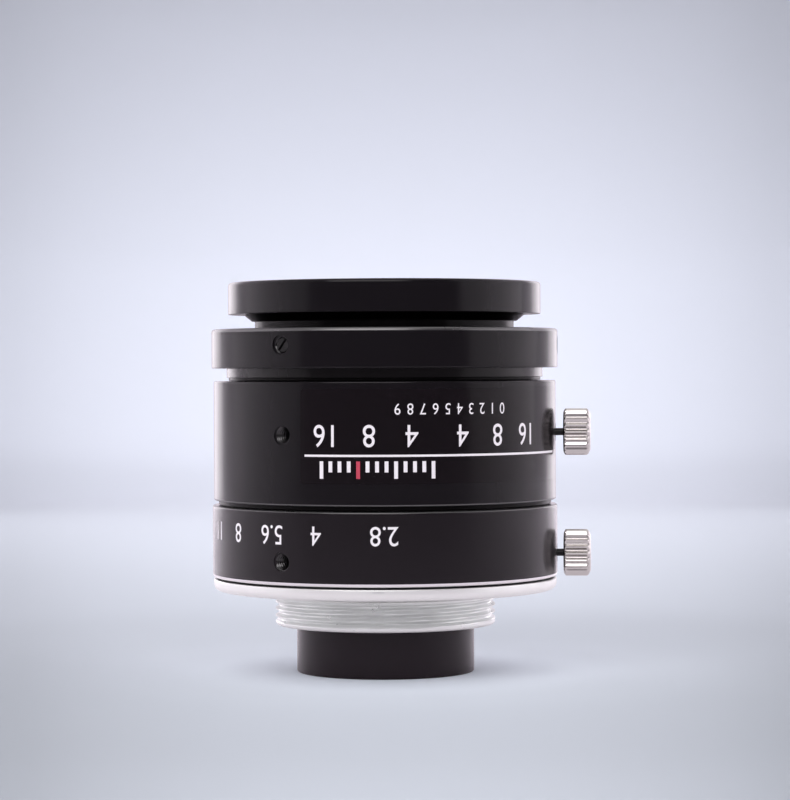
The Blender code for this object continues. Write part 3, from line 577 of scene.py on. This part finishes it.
def buildFocusRing():
    radius, bore, lip = lens["focusRadius"], focusRing["bore"], focusRing["lipInner"]
    profile = rounded([
        (bore, focusLow, 0.05), (radius, focusLow, focusRing["lowerRounding"]),
        (radius, focusHigh, focusRing["upperRounding"]), (lip, focusHigh, 0.15),
        (lip, neckLow, 0.05), (bore, neckLow, 0.05)])
    piece = turned("focusRing", profile, [anodised, bareEdge, tappedBlack])
    cut(piece, tapped(focusLow + lens["focusHole"], 18.0, radius + 0.3))
    paintEdge(piece, focusHigh - 0.36, focusHigh + 0.01, radius - 0.42)
    paintHoles(piece, focusLow + lens["focusHole"], 2)
    joined(piece, "focus", "black_anodised", "focus_ring")


sleeve = {
    "bore": 14.65,
    "skirt": 16.5,
    "groove": 18.0,
    "grooveHeight": 0.35,
    "shoulder": 18.25,
    "shoulderGap": 0.05,   # above the main barrel
}


def buildSleeve():
    low, high = span("helicoid_sleeve")
    shoulder = barrelHigh + sleeve["shoulderGap"]
    grooveTop = shoulder + sleeve["grooveHeight"]
    profile = rounded([
        (sleeve["bore"], low, 0.1), (sleeve["skirt"], low, 0.1),
        (sleeve["skirt"], shoulder, 0.05), (sleeve["groove"], shoulder, 0.1),
        (sleeve["groove"], grooveTop, 0.05), (sleeve["shoulder"], grooveTop, 0.05),
        (sleeve["shoulder"], high, 0.1), (sleeve["bore"], high, 0.1)])
    piece = turned("focusSleeve", profile, [sleeveBlack, paintedShadeBlack])
    # painted shade: the groove at the sleeve's foot, in the gap above the main barrel, turns
    # near-black
    paintEdge(piece, shoulder - 0.01, grooveTop + 0.01, sleeve["skirt"] + 0.5)
    joined(piece, "focus", "brass", "helicoid_sleeve")


buildIrisRing()
buildMainBarrel()
buildFocusRing()
buildSleeve()
print("rings made")


# Front barrel with its filter thread

front = {
    "ring": 18.05,
    "neck": 14.95,
    "coneFoot": 15.3,
    "coneHead": 16.3,
    "ringHeight": 3.65,
    "coneHeight": 0.8,
    "recess": 16.5,
    "recessDepth": 3.4,
    "threadPitch": 0.5,
    "threadDepth": 0.22,
    "skirt": 13.0,
    "skirtBore": 11.3,
    "collar": 14.35,
    "stop": 9.8,
    "stopHeight": 1.8,
    "keyAngle": 100,
    "keywayWidth": 2.2,
    "keywayDepth": 2.3,
    "keywayMiddle": 12.15,
}


def buildFrontBarrel():
    ringLow = frontHigh - front["ringHeight"]
    neckTop = ringLow - front["coneHeight"]
    floor = frontHigh - front["recessDepth"]
    stop = span("third_element")[0] - 0.3
    stopLow = stop - front["stopHeight"]
    sleeveLow = span("helicoid_sleeve")[0]
    profile = rounded([
        (front["skirtBore"], frontLow, 0.1), (front["skirt"], frontLow, 0.1),
        (front["skirt"], sleeveLow, 0.05), (front["collar"], sleeveLow, 0.1),
        (front["collar"], neckLow, 0.05), (front["neck"], neckLow, 0.05),
        (front["neck"], neckTop, 0.1), (front["coneFoot"], neckTop, 0.1),
        (front["coneHead"], ringLow, 0.02), (front["ring"], ringLow, 0.07),
        (front["ring"], frontHigh, 0.42), (front["recess"], frontHigh, 0.2),
        (front["recess"], floor, 0.1), (front["skirt"], floor, 0.1), (front["skirt"], stop, 0.05),
        (front["stop"], stop, 0.1), (front["stop"], stopLow, 0.1),
        (front["skirtBore"], stopLow, 0.1)], 5)
    profile = withRows(profile, front["recess"], 48)
    thread = (front["recess"], floor + 0.3, frontHigh - 0.35,
              -front["threadDepth"], front["threadPitch"])
    piece = turned("frontBarrel", profile, [anodised, paintedShadeBlack], 0, thread)
    keywayLow, keywayHigh = frontLow - 0.3, span("guide_key")[1] + 0.3
    keyway, faces = boxShape((front["keywayWidth"], keywayHigh - keywayLow, front["keywayDepth"]),
                             (0, (keywayHigh + keywayLow) / 2, front["keywayMiddle"]))
    cut(piece, [(radially(keyway, front["keyAngle"], 0), faces)])
    # painted shade: the neck and the cone under the front ring turn near-black
    paintEdge(piece, neckLow, ringLow + 0.01, front["neck"] - 0.02)
    joined(piece, "front_unit", "black_anodised", "front_barrel")


buildFrontBarrel()
print("front barrel made")


# Glass elements with spherical faces

glasses = {
    # body, edge thickness, and radius of curvature of the upper and the lower face (0 is flat,
    # and a face with a negative radius is hollow)
    "front_element": ("front_unit", 2.2, 45.0, -30.0),
    "second_element": ("front_unit", 1.5, 34.0, 60.0),
    "third_element": ("front_unit", 3.2, -38.0, 0.0),
    "fourth_element": ("base", 1.6, 0.0, 22.0),
    "rear_element": ("base", 1.7, 40.0, 30.0),
}
glassShape = {
    "rim": 1.6,     # width of the flat ground ring round each face
    "rows": 16,
    "steps": 120,
}


def sag(curvature, reach):
    # height of a sphere's cap over that reach from the axis
    if not curvature:
        return 0 * reach
    return curvature - math.copysign(1, curvature) * np.sqrt(curvature ** 2 - reach ** 2)


def buildGlass(node, body, edge, upper, lower):
    corner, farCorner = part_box(node)
    radius = (farCorner.x - corner.x) / 2 / mm
    reach = np.linspace(0, radius - glassShape["rim"], glassShape["rows"])
    crown, cup = sag(upper, reach), sag(lower, reach)
    top = farCorner.z / mm - max(crown[-1], 0)
    under = np.stack((reach, top - edge - cup[-1] + cup), axis=1)
    over = np.stack((reach, top + crown[-1] - crown), axis=1)[::-1]
    rim = np.array(((radius, top - edge), (radius, top)))
    profile = np.concatenate((under, rim, over))
    piece = turned(node.replace("_e", "E"), profile, [glass], glassShape["steps"])
    joined(piece, body, "coated_glass", node)


for node, values in glasses.items():
    buildGlass(node, *values)
print("glass made")


# Screws: slotted grub screws and the two knurled lock screws

screws = {
    "threadDepth": 0.12,
    "grubLow": 18.56,
    "grubTop": 19.6,
    "lockReach": 23.75,
    "headLow": 20.65,
    "headRadius": 2.68,
    "headChamfer": 0.4,
    "flutes": 20,
    "fluteDepth": 0.36,
    "neckRadius": 0.42,
    "shank": 0.8,
    "slotWidth": 0.28,
    "slotDepth": 0.45,
    "slotTurn": 42,
    "slotStep": 50,     # how much further each next screw is turned
}


def buildGrub(index, angle):
    node = f"focus_grub_screw_{index}"
    height = focusLow + lens["focusHole"]
    top = screws["grubTop"]
    points, faces = rod(screws["shank"], screws["grubLow"], top, 36,
                        (screws["threadDepth"], lens["holePitch"]))
    piece = newObject("grubScrew", points, faces, burnished)
    cut(piece, [boxShape((screws["slotWidth"], 3, 2 * screws["slotDepth"]), (0, 0, top))])
    turn = math.radians(screws["slotTurn"] + screws["slotStep"] * index)
    flat = np.zeros(len(piece.data.vertices) * 3)
    piece.data.vertices.foreach_get("co", flat)
    local = (flat.reshape(-1, 3) - axisPlace) / mm
    spun = np.stack((local[:, 0] * math.cos(turn) - local[:, 1] * math.sin(turn),
                     local[:, 0] * math.sin(turn) + local[:, 1] * math.cos(turn),
                     local[:, 2]), axis=1)
    placed = radially(spun, angle, height) * mm + axisPlace
    piece.data.vertices.foreach_set("co", placed.ravel())
    piece.data.update()
    joined(piece, "focus", "blackened_steel", node)


def buildLockScrew(kind, height):
    # a turned path of (radius, reach, share of the flute depth, share of the thread depth);
    # the head's radius falls by the flute depth between flutes, as a raised cosine round it
    node = f"{kind}_lock_screw"
    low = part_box(f"{kind}_lock_pad")[1].x / mm - axisX / mm
    low = low / math.cos(math.radians(90 - lens["holeAngles"][0])) + 0.3
    reach, head, chamfer = screws["lockReach"], screws["headRadius"], screws["headChamfer"]
    neck, headLow = screws["neckRadius"], screws["headLow"]
    shankTop = lens["barrelRadius"] - 0.5
    thread = np.linspace(low, shankTop, 40)
    path = [(0, low, 0, 0)] + [(screws["shank"], z, 0, 1) for z in thread]
    path += [(neck, shankTop + 0.1, 0, 0), (neck, headLow - 0.02, 0, 0),
             (neck + 0.1, headLow, 0, 0), (head - 0.35, headLow, 0, 0),
             (head - 0.06, headLow + 0.16, 0.5, 0), (head, headLow + 0.26, 1, 0)]
    path += [(head, z, 1, 0) for z in np.linspace(headLow + 0.4, reach - chamfer - 0.08, 6)]
    path += [(head - 0.02, reach - chamfer, 0.95, 0),
             (head - 0.16, reach - 0.6 * chamfer, 0.6, 0), (head - 0.42, reach - 0.12, 0.1, 0),
             (head - 0.5, reach - 0.05, 0, 0), (head - 0.62, reach, 0, 0),
             (head - 1.3, reach, 0, 0), (0.4, reach, 0, 0), (0, reach, 0, 0)]
    path = np.array(path, float)
    steps = screws["flutes"] * 12
    angle = np.arange(steps)[None] * 2 * np.pi / steps
    radius, along, fluted, threaded = (path[:, i:i + 1] + 0 * angle for i in range(4))
    valley = (0.5 - 0.5 * np.cos(screws["flutes"] * angle)) ** 0.8
    radius = radius - fluted * screws["fluteDepth"] * valley
    wave = threadWave(along / lens["holePitch"] - angle / (2 * np.pi))
    radius = radius - threaded * screws["threadDepth"] * (1 - wave)
    points = np.stack((radius * np.cos(angle), radius * np.sin(angle), along), axis=-1)
    points = radially(points, lens["holeAngles"][0], height)
    faces = quads(len(path), steps, False)
    piece = smooth(newObject(f"{kind}LockScrew", points, faces, nickel, burnished), 50)
    # all that lies near the screw's own axis is darkened, and then the head is brightened again
    paintEdge(piece, height - screws["shank"] - 0.1, height + screws["shank"] + 0.1, 0)
    paintEdge(piece, height - head - 0.1, height + head + 0.1, headLow - 0.01, 0)
    joined(piece, f"{kind}_lock_screw", "nickel", node)


for index, angle in enumerate(lens["holeAngles"]):
    buildGrub(index + 1, angle)
buildLockScrew("iris", irisLow + lens["irisHole"])
buildLockScrew("focus", barrelLow + lens["barrelHole"])
print("screws made")


# Numerals, rules and the label, all wrapped round the rings

prints = {
    "inkThickness": 0.012,
    "narrow": 0.88,        # width of the numerals against the font's
    "sliceWidth": 0.25,
}


def wrapped(points, radius, angle, height, upsideDown):
    # flat x runs round the ring and flat y up it; upside down turns both round
    sign = -1.0 if upsideDown else 1.0
    a = math.radians(angle) + sign * points[:, 0] / radius
    return np.stack((radius * np.sin(a), -radius * np.cos(a), height + sign * points[:, 1]), axis=1)


def flatText(words, size):
    curve = bpy.data.curves.new("words", "FONT")
    curve.body = words
    curve.size = size
    curve.align_x = "CENTER"
    curve.align_y = "CENTER"
    curve.resolution_u = 6
    holder = bpy.data.objects.new("words", curve)
    bpy.context.scene.collection.objects.link(holder)
    bpy.context.view_layer.update()
    mesh = finalMesh(holder)
    bpy.data.objects.remove(holder)
    bpy.data.curves.remove(curve)
    shape = bmesh.new()
    shape.from_mesh(mesh)
    bpy.data.meshes.remove(mesh)
    for vert in shape.verts:
        vert.co.x *= prints["narrow"]
    return shape


def flatBar(width, height):
    shape = bmesh.new()
    corners = ((-0.5, -0.5), (0.5, -0.5), (0.5, 0.5), (-0.5, 0.5))
    shape.faces.new([shape.verts.new((x * width, y * height, 0)) for x, y in corners])
    return shape


def sliced(shape):
    # cuts a flat shape into upright strips, so that it can bend round a ring
    xs = [vert.co.x for vert in shape.verts]
    for x in np.arange(min(xs) + prints["sliceWidth"], max(xs), prints["sliceWidth"]):
        everything = shape.verts[:] + shape.edges[:] + shape.faces[:]
        bmesh.ops.bisect_plane(shape, geom=everything, plane_co=(x, 0, 0), plane_no=(1, 0, 0))
    return shape


def printed(name, marks, radius, finish, body, slotName, upsideDown=True):
    # marks is a list of (flat shape, angle, height); together they are one thin layer of ink
    points, faces, first = [], [], 0
    for shape, angle, height in marks:
        sliced(shape)
        shape.verts.index_update()
        flat = np.array([vert.co[:] for vert in shape.verts], float)
        points.append(wrapped(flat, radius + prints["inkThickness"], angle, height, upsideDown))
        faces += [[first + vert.index for vert in face.verts] for face in shape.faces]
        first += len(flat)
        shape.free()
    data = bpy.data.meshes.new(name)
    placed = np.concatenate(points) * mm + axisPlace
    data.from_pydata(placed.tolist(), [], faces)
    data.materials.append(finish)
    piece = bpy.data.objects.new(name, data)
    bpy.context.scene.collection.objects.link(piece)
    solid = piece.modifiers.new("ink", "SOLIDIFY")
    solid.thickness = prints["inkThickness"] * mm
    solid.offset = -1.0
    joined(piece, body, slotName)
    return piece


irisMarks = {
    "numbers": (("2.8", -0.3), ("4", -22.5), ("5.6", -39), ("8", -55.5), ("11", -70.5),
                ("16", -85)),
    "size": 3.05,
    "height": 16.8,
    "indexSize": (1.3, 0.16),
    "indexBelowTop": 0.3,
}
focusMarks = {
    "numbers": (("∞", -96), ("1", -118), (".5", -137), (".3", -166), (".2", -186),
                (".15", -208), (".1", -238)),
    "size": 2.2,
    "height": 37.7,
    "tickWidth": 0.18,
    "tickHeight": 0.9,
    "tickGap": 0.25,
    "indexAngle": -88.5,
    "indexSize": (0.25, 2.0),
    "indexBelowTop": 1.4,
    "pointerSize": (0.2, 1.3),
    "pointerHeight": 36.75,
}
label = {
    "left": -27.9,
    "right": 76,
    "low": 22.35,
    "high": 32.75,
    "corner": 0.4,
    "thickness": 0.03,
    "columns": 260,
    "rows": 5,
    "digits": "0123456789",
    "digitSize": 1.75,
    "digitHeight": 30.6,
    "digitFrom": 4,
    "digitStep": 4.1,
    "depths": (("16", -19), ("8", -5), ("4", 8.5), ("4", 25.5), ("8", 39), ("16", 53)),
    "depthSize": 3.5,
    "depthHeight": 27.75,
    "ruleHeight": 25.45,
    "ruleWidth": 0.24,
    "ruleMargin": 3,
    "barsFrom": -20.5,
    "barStep": 3.0,
    "barCount": 13,
    "barWidth": 0.42,
    "barHeights": (1.9, 1.2),   # of each fourth bar, and of the others
    "barGap": 0.6,
    "redBar": 4,
}


def buildNumerals():
    shapes = [(flatText(words, irisMarks["size"]), angle, irisMarks["height"])
              for words, angle in irisMarks["numbers"]]
    printed("irisNumerals", shapes, lens["irisRadius"], whiteInk, "iris", "black_anodised")
    shapes = [(flatText(words, focusMarks["size"]), angle, focusMarks["height"])
              for words, angle in focusMarks["numbers"]]
    tickMiddle = focusLow + focusMarks["tickGap"] + focusMarks["tickHeight"] / 2
    for words, angle in focusMarks["numbers"]:
        tick = flatBar(focusMarks["tickWidth"], focusMarks["tickHeight"])
        shapes.append((tick, angle, tickMiddle))
    pointer = flatBar(*focusMarks["pointerSize"])
    shapes.append((pointer, focusMarks["indexAngle"], focusMarks["pointerHeight"]))
    radius = lens["focusRadius"] - 0.002
    printed("focusNumerals", shapes, radius, whiteInk, "focus", "black_anodised")
    index = [(flatBar(*focusMarks["indexSize"]), focusMarks["indexAngle"],
              barrelHigh - focusMarks["indexBelowTop"])]
    printed("focusIndex", index, lens["barrelRadius"], whiteInk, "base", "black_anodised")
    mark = [(flatBar(*irisMarks["indexSize"]), mount["markAngle"],
             mountHigh - irisMarks["indexBelowTop"])]
    printed("irisIndex", mark, mount["flange"], threadChrome, "base", "satin_chrome")


def buildLabel():
    # a thin sheet round the barrel; near its ends its height shrinks by the corner's circle
    rows, columns = label["rows"], label["columns"]
    angle = np.radians(np.linspace(label["left"], label["right"], columns))
    along = (angle - angle[0]) * lens["barrelRadius"]
    fromEnd = np.clip(np.minimum(along, along[-1] - along), 0, label["corner"])
    inset = label["corner"] - np.sqrt(label["corner"] ** 2 - (label["corner"] - fromEnd) ** 2)
    low, high = label["low"] + inset, label["high"] - inset
    share = np.linspace(0, 1, rows)[:, None]
    height = low + (high - low) * share
    radius = lens["barrelRadius"] + label["thickness"]
    across = np.repeat(angle[None], rows, axis=0)
    points = np.stack((radius * np.sin(across), -radius * np.cos(across), height), axis=-1)
    piece = newObject("label", points, quads(rows, columns, False, False), labelBlack)
    solid = piece.modifiers.new("sheet", "SOLIDIFY")
    solid.thickness = label["thickness"] * mm
    solid.offset = -1.0
    settled(piece)
    joined(piece, "base", "black_anodised")
    return radius


def buildLabelPrint(radius):
    white, red = [], []
    lastDigit = len(label["digits"]) - 1
    for index, digit in enumerate(label["digits"]):
        angle = label["digitFrom"] + (lastDigit - index) * label["digitStep"]
        white.append((flatText(digit, label["digitSize"]), angle, label["digitHeight"]))
    for words, angle in label["depths"]:
        white.append((flatText(words, label["depthSize"]), angle, label["depthHeight"]))
    length = math.radians(label["right"] - label["left"] - label["ruleMargin"]) * radius
    white.append((flatBar(length, label["ruleWidth"]), (label["left"] + label["right"]) / 2,
                  label["ruleHeight"]))
    for index in range(label["barCount"]):
        marks = red if index == label["redBar"] else white
        tall = label["barHeights"][0 if index % 4 == 0 else 1]
        marks.append((flatBar(label["barWidth"], tall),
                      label["barsFrom"] + index * label["barStep"],
                      label["ruleHeight"] - label["barGap"] - tall / 2))
    printed("labelPrint", white, radius, whiteInk, "base", "black_anodised")
    printed("labelMark", red, radius, redInk, "base", "black_anodised")


buildNumerals()
buildLabelPrint(buildLabel())
print("numerals and label made")


# CAD nodes that stay as they are, with better finishes

finishOf = {
    "satin_chrome": chrome, "black_anodised": anodised, "matt_black": mattBlack,
    "blackened_steel": blackSteel, "nickel": nickel, "brass": brass, "spring_steel": spring,
    "coated_glass": glass, "nylon": nylon,
}


def refinish():
    for name, node in nodes.items():
        for index, held in enumerate(node.data.materials):
            key = held.name.split(".")[0] if held else ""
            node.material_slots[index].link = "OBJECT"
            node.material_slots[index].material = finishOf.get(key, mattBlack)


refinish()
print("carried nodes finished")


# Stage: one round sweep of floor and wall, soft lights and the camera

stage = {
    "floorRadius": 0.42,
    "bendRadius": 0.20,
    "wallTop": 0.75,
    "steps": 160,
    "bendRows": 40,
    "plainColour": (0.62, 0.60, 0.63),
    # brightness of what the lens reflects, by metres back
    "plainBack": ((-0.62, 0.45), (-0.3, 0.55), (-0.05, 1.35), (0.15, 1.7), (0.4, 1.8),
                  (0.62, 1.95)),
    "seenColour": (0.560, 0.618, 0.665),
    # brightness of what the camera sees: a pool of light that widens away from poolFront. It
    # follows the sweep (metres back plus metres up) and falls off across it (metres aside for
    # each metre from poolFront)
    "along": ((-0.5, 1.0), (-0.09, 0.91), (-0.045, 0.97), (0.0, 1.03), (0.1, 1.10), (0.2, 1.22),
              (0.32, 1.33), (0.46, 1.50), (0.52, 1.71), (0.6, 1.68), (0.65, 1.55), (0.7, 1.38),
              (0.75, 1.18), (0.8, 0.98), (1.2, 0.7)),
    "across": ((0.0, 1.0), (0.05, 0.975), (0.0732, 0.935), (0.0946, 0.885), (0.1125, 0.83),
               (0.127, 0.772), (0.139, 0.728), (0.2, 0.67)),
    "poolFront": -0.324,
    "poolFades": (-0.5, -0.1),   # in front of the lens the fall-off across fades out
    "poolNearest": 0.15,
    # brightness by distance from the lens's foot, against the shade that the lens throws
    "foot": ((0.0, 1.38), (0.012, 1.36), (0.03, 1.16), (0.06, 1.02), (0.10, 1.07), (0.18, 1.07),
             (0.4, 1.0), (0.8, 1.0)),
}


def arithmetic(tree, operation, first, second):
    # one sum of two values, each a socket or a number
    step = tree.nodes.new("ShaderNodeMath")
    step.operation = operation
    for socket, value in zip(step.inputs, (first, second)):
        if isinstance(value, (int, float)):
            socket.default_value = value
        else:
            tree.links.new(value, socket)
    return step.outputs["Value"]


def brightnessCurve(tree, value, points):
    # a smooth curve through (value, brightness) points, level past its ends;
    # the node's curve holds half the brightness, which may be up to 2
    low, high = points[0][0], points[-1][0]
    node = tree.nodes.new("ShaderNodeFloatCurve")
    node.mapping.extend = "HORIZONTAL"
    curve = node.mapping.curves[0].points
    for x, y in points[1:-1]:
        curve.new((x - low) / (high - low), y / 2)
    curve[0].location = (0.0, points[0][1] / 2)
    curve[-1].location = (1.0, points[-1][1] / 2)
    share = arithmetic(tree, "DIVIDE", arithmetic(tree, "SUBTRACT", value, low), high - low)
    tree.links.new(share, node.inputs["Value"])
    return arithmetic(tree, "MULTIPLY", node.outputs["Value"], 2)


def sweepFinish():
    # camera rays see the pool of light, and all others a plain colour that brightens backwards
    made, tree, shader = newMaterial("sweep")
    shader.inputs["Roughness"].default_value = 0.85
    shader.inputs["Specular IOR Level"].default_value = 0.05
    coordinates = tree.nodes.new("ShaderNodeTexCoord").outputs["Object"]
    place = tree.nodes.new("ShaderNodeSeparateXYZ")
    tree.links.new(coordinates, place.inputs["Vector"])
    path = arithmetic(tree, "ADD", place.outputs["Y"], place.outputs["Z"])
    reach = arithmetic(tree, "SUBTRACT", place.outputs["Y"], stage["poolFront"])
    reach = arithmetic(tree, "MAXIMUM", reach, stage["poolNearest"])
    aside = arithmetic(tree, "DIVIDE", arithmetic(tree, "ABSOLUTE", place.outputs["X"], 0), reach)
    inFront = tree.nodes.new("ShaderNodeMapRange")
    inFront.interpolation_type = "SMOOTHSTEP"
    inFront.inputs["From Min"].default_value = stage["poolFades"][0]
    inFront.inputs["From Max"].default_value = stage["poolFades"][1]
    tree.links.new(place.outputs["Y"], inFront.inputs["Value"])
    aside = arithmetic(tree, "MULTIPLY", aside, inFront.outputs["Result"])
    amount = arithmetic(tree, "MULTIPLY", brightnessCurve(tree, path, stage["along"]),
                        brightnessCurve(tree, aside, stage["across"]))
    away = tree.nodes.new("ShaderNodeVectorMath")
    away.operation = "LENGTH"
    tree.links.new(coordinates, away.inputs[0])
    foot = brightnessCurve(tree, away.outputs["Value"], stage["foot"])
    amount = arithmetic(tree, "MULTIPLY", amount, foot)
    plain = brightnessCurve(tree, place.outputs["Y"], stage["plainBack"])
    rays = tree.nodes.new("ShaderNodeLightPath")
    chosen = tree.nodes.new("ShaderNodeMix")
    chosen.data_type = "RGBA"
    tree.links.new(rays.outputs["Is Camera Ray"], chosen.inputs["Factor"])
    for socket, colour, factor in (("A", stage["plainColour"], plain),
                                   ("B", stage["seenColour"], amount)):
        scaled = tree.nodes.new("ShaderNodeVectorMath")
        scaled.operation = "SCALE"
        scaled.inputs[0].default_value = colour
        tree.links.new(factor, scaled.inputs["Scale"])
        tree.links.new(scaled.outputs["Vector"], chosen.inputs[socket])
    tree.links.new(chosen.outputs["Result"], shader.inputs["Base Color"])
    return made


def buildSweep():
    # the profile is a flat floor, a quarter circle and an upright wall, turned round the lens
    floor, bendRadius, steps = stage["floorRadius"], stage["bendRadius"], stage["steps"]
    bend = np.radians(np.linspace(-90, 0, stage["bendRows"]))
    r = np.concatenate(([0.0, 0.1, 0.25], floor + bendRadius * np.cos(bend), [floor + bendRadius]))
    z = np.concatenate(([0.0, 0.0, 0.0], bendRadius * (1 + np.sin(bend)), [stage["wallTop"]]))
    angle = np.arange(steps) * 2 * np.pi / steps
    points = np.stack((r[:, None] * np.sin(angle), -r[:, None] * np.cos(angle),
                       z[:, None] + 0 * angle), axis=-1)
    data = bpy.data.meshes.new("sweep")
    data.from_pydata(points.reshape(-1, 3).tolist(), [], quads(len(r), steps, False).tolist())
    data.materials.append(sweepFinish())
    data.shade_smooth()
    sweep = bpy.data.objects.new("sweep", data)
    bpy.context.scene.collection.objects.link(sweep)


# soft boxes: place and size in metres, power in watts
lights = {
    "backLeft": {"at": (-0.195, 0.31, 0.085), "size": (0.15, 0.17), "power": 0.115},
    "backRight": {"at": (0.195, 0.31, 0.085), "size": (0.15, 0.17), "power": 0.105},
    "top": {"at": (0.0, -0.05, 0.75), "size": (0.9, 0.9), "power": 1.7},
    "left": {"at": (-0.39, -0.02, 0.14), "size": (0.5, 0.4), "power": 0.36},
    "right": {"at": (0.39, -0.02, 0.14), "size": (0.5, 0.4), "power": 0.50},
    "front": {"at": (-0.10, -0.42, 0.30), "size": (0.5, 0.25), "power": 1.3},
}
studio = {
    "lightColour": (1.0, 0.96, 0.985),
    "aim": (0, 0, 0.025),
    "worldColour": (1.0, 0.98, 1.0),
    "worldStrength": 0.42,
}


def buildLights():
    for name, values in lights.items():
        lamp = bpy.data.lights.new(name, "AREA")
        lamp.shape = "RECTANGLE"
        lamp.size, lamp.size_y = values["size"]
        lamp.energy = values["power"]
        lamp.color = studio["lightColour"]
        holder = bpy.data.objects.new(name, lamp)
        holder.visible_camera = False
        bpy.context.scene.collection.objects.link(holder)
        holder.location = values["at"]
        aim = Vector(studio["aim"]) - Vector(values["at"])
        holder.rotation_euler = aim.to_track_quat("-Z", "Y").to_euler()
    world = bpy.data.worlds.new("studio")
    world.use_nodes = True
    light = world.node_tree.nodes["Background"]
    light.inputs["Color"].default_value = (*studio["worldColour"], 1)
    light.inputs["Strength"].default_value = studio["worldStrength"]
    bpy.context.scene.world = world


# metres, millimetres of focal length, and degrees down, to the right and round the view
camera = {
    "distance": 0.324,
    "height": 0.0350,
    "lens": 126.0,
    "pitch": 0.655,
    "yaw": 0.211,
    "roll": -0.23,
}


def buildCamera():
    data = bpy.data.cameras.new("camera")
    data.lens = camera["lens"]
    data.sensor_width = 36
    data.clip_start = 0.01
    data.clip_end = 10
    holder = bpy.data.objects.new("camera", data)
    bpy.context.scene.collection.objects.link(holder)
    turn = (Matrix.Rotation(math.radians(-camera["yaw"]), 4, "Z")
            @ Matrix.Rotation(math.radians(90 - camera["pitch"]), 4, "X")
            @ Matrix.Rotation(math.radians(camera["roll"]), 4, "Z"))
    holder.matrix_world = Matrix.Translation((axisX, -camera["distance"], camera["height"])) @ turn
    bpy.context.scene.camera = holder


buildSweep()
buildLights()
buildCamera()
bpy.context.scene.view_settings.view_transform = "Standard"
print("stage made")
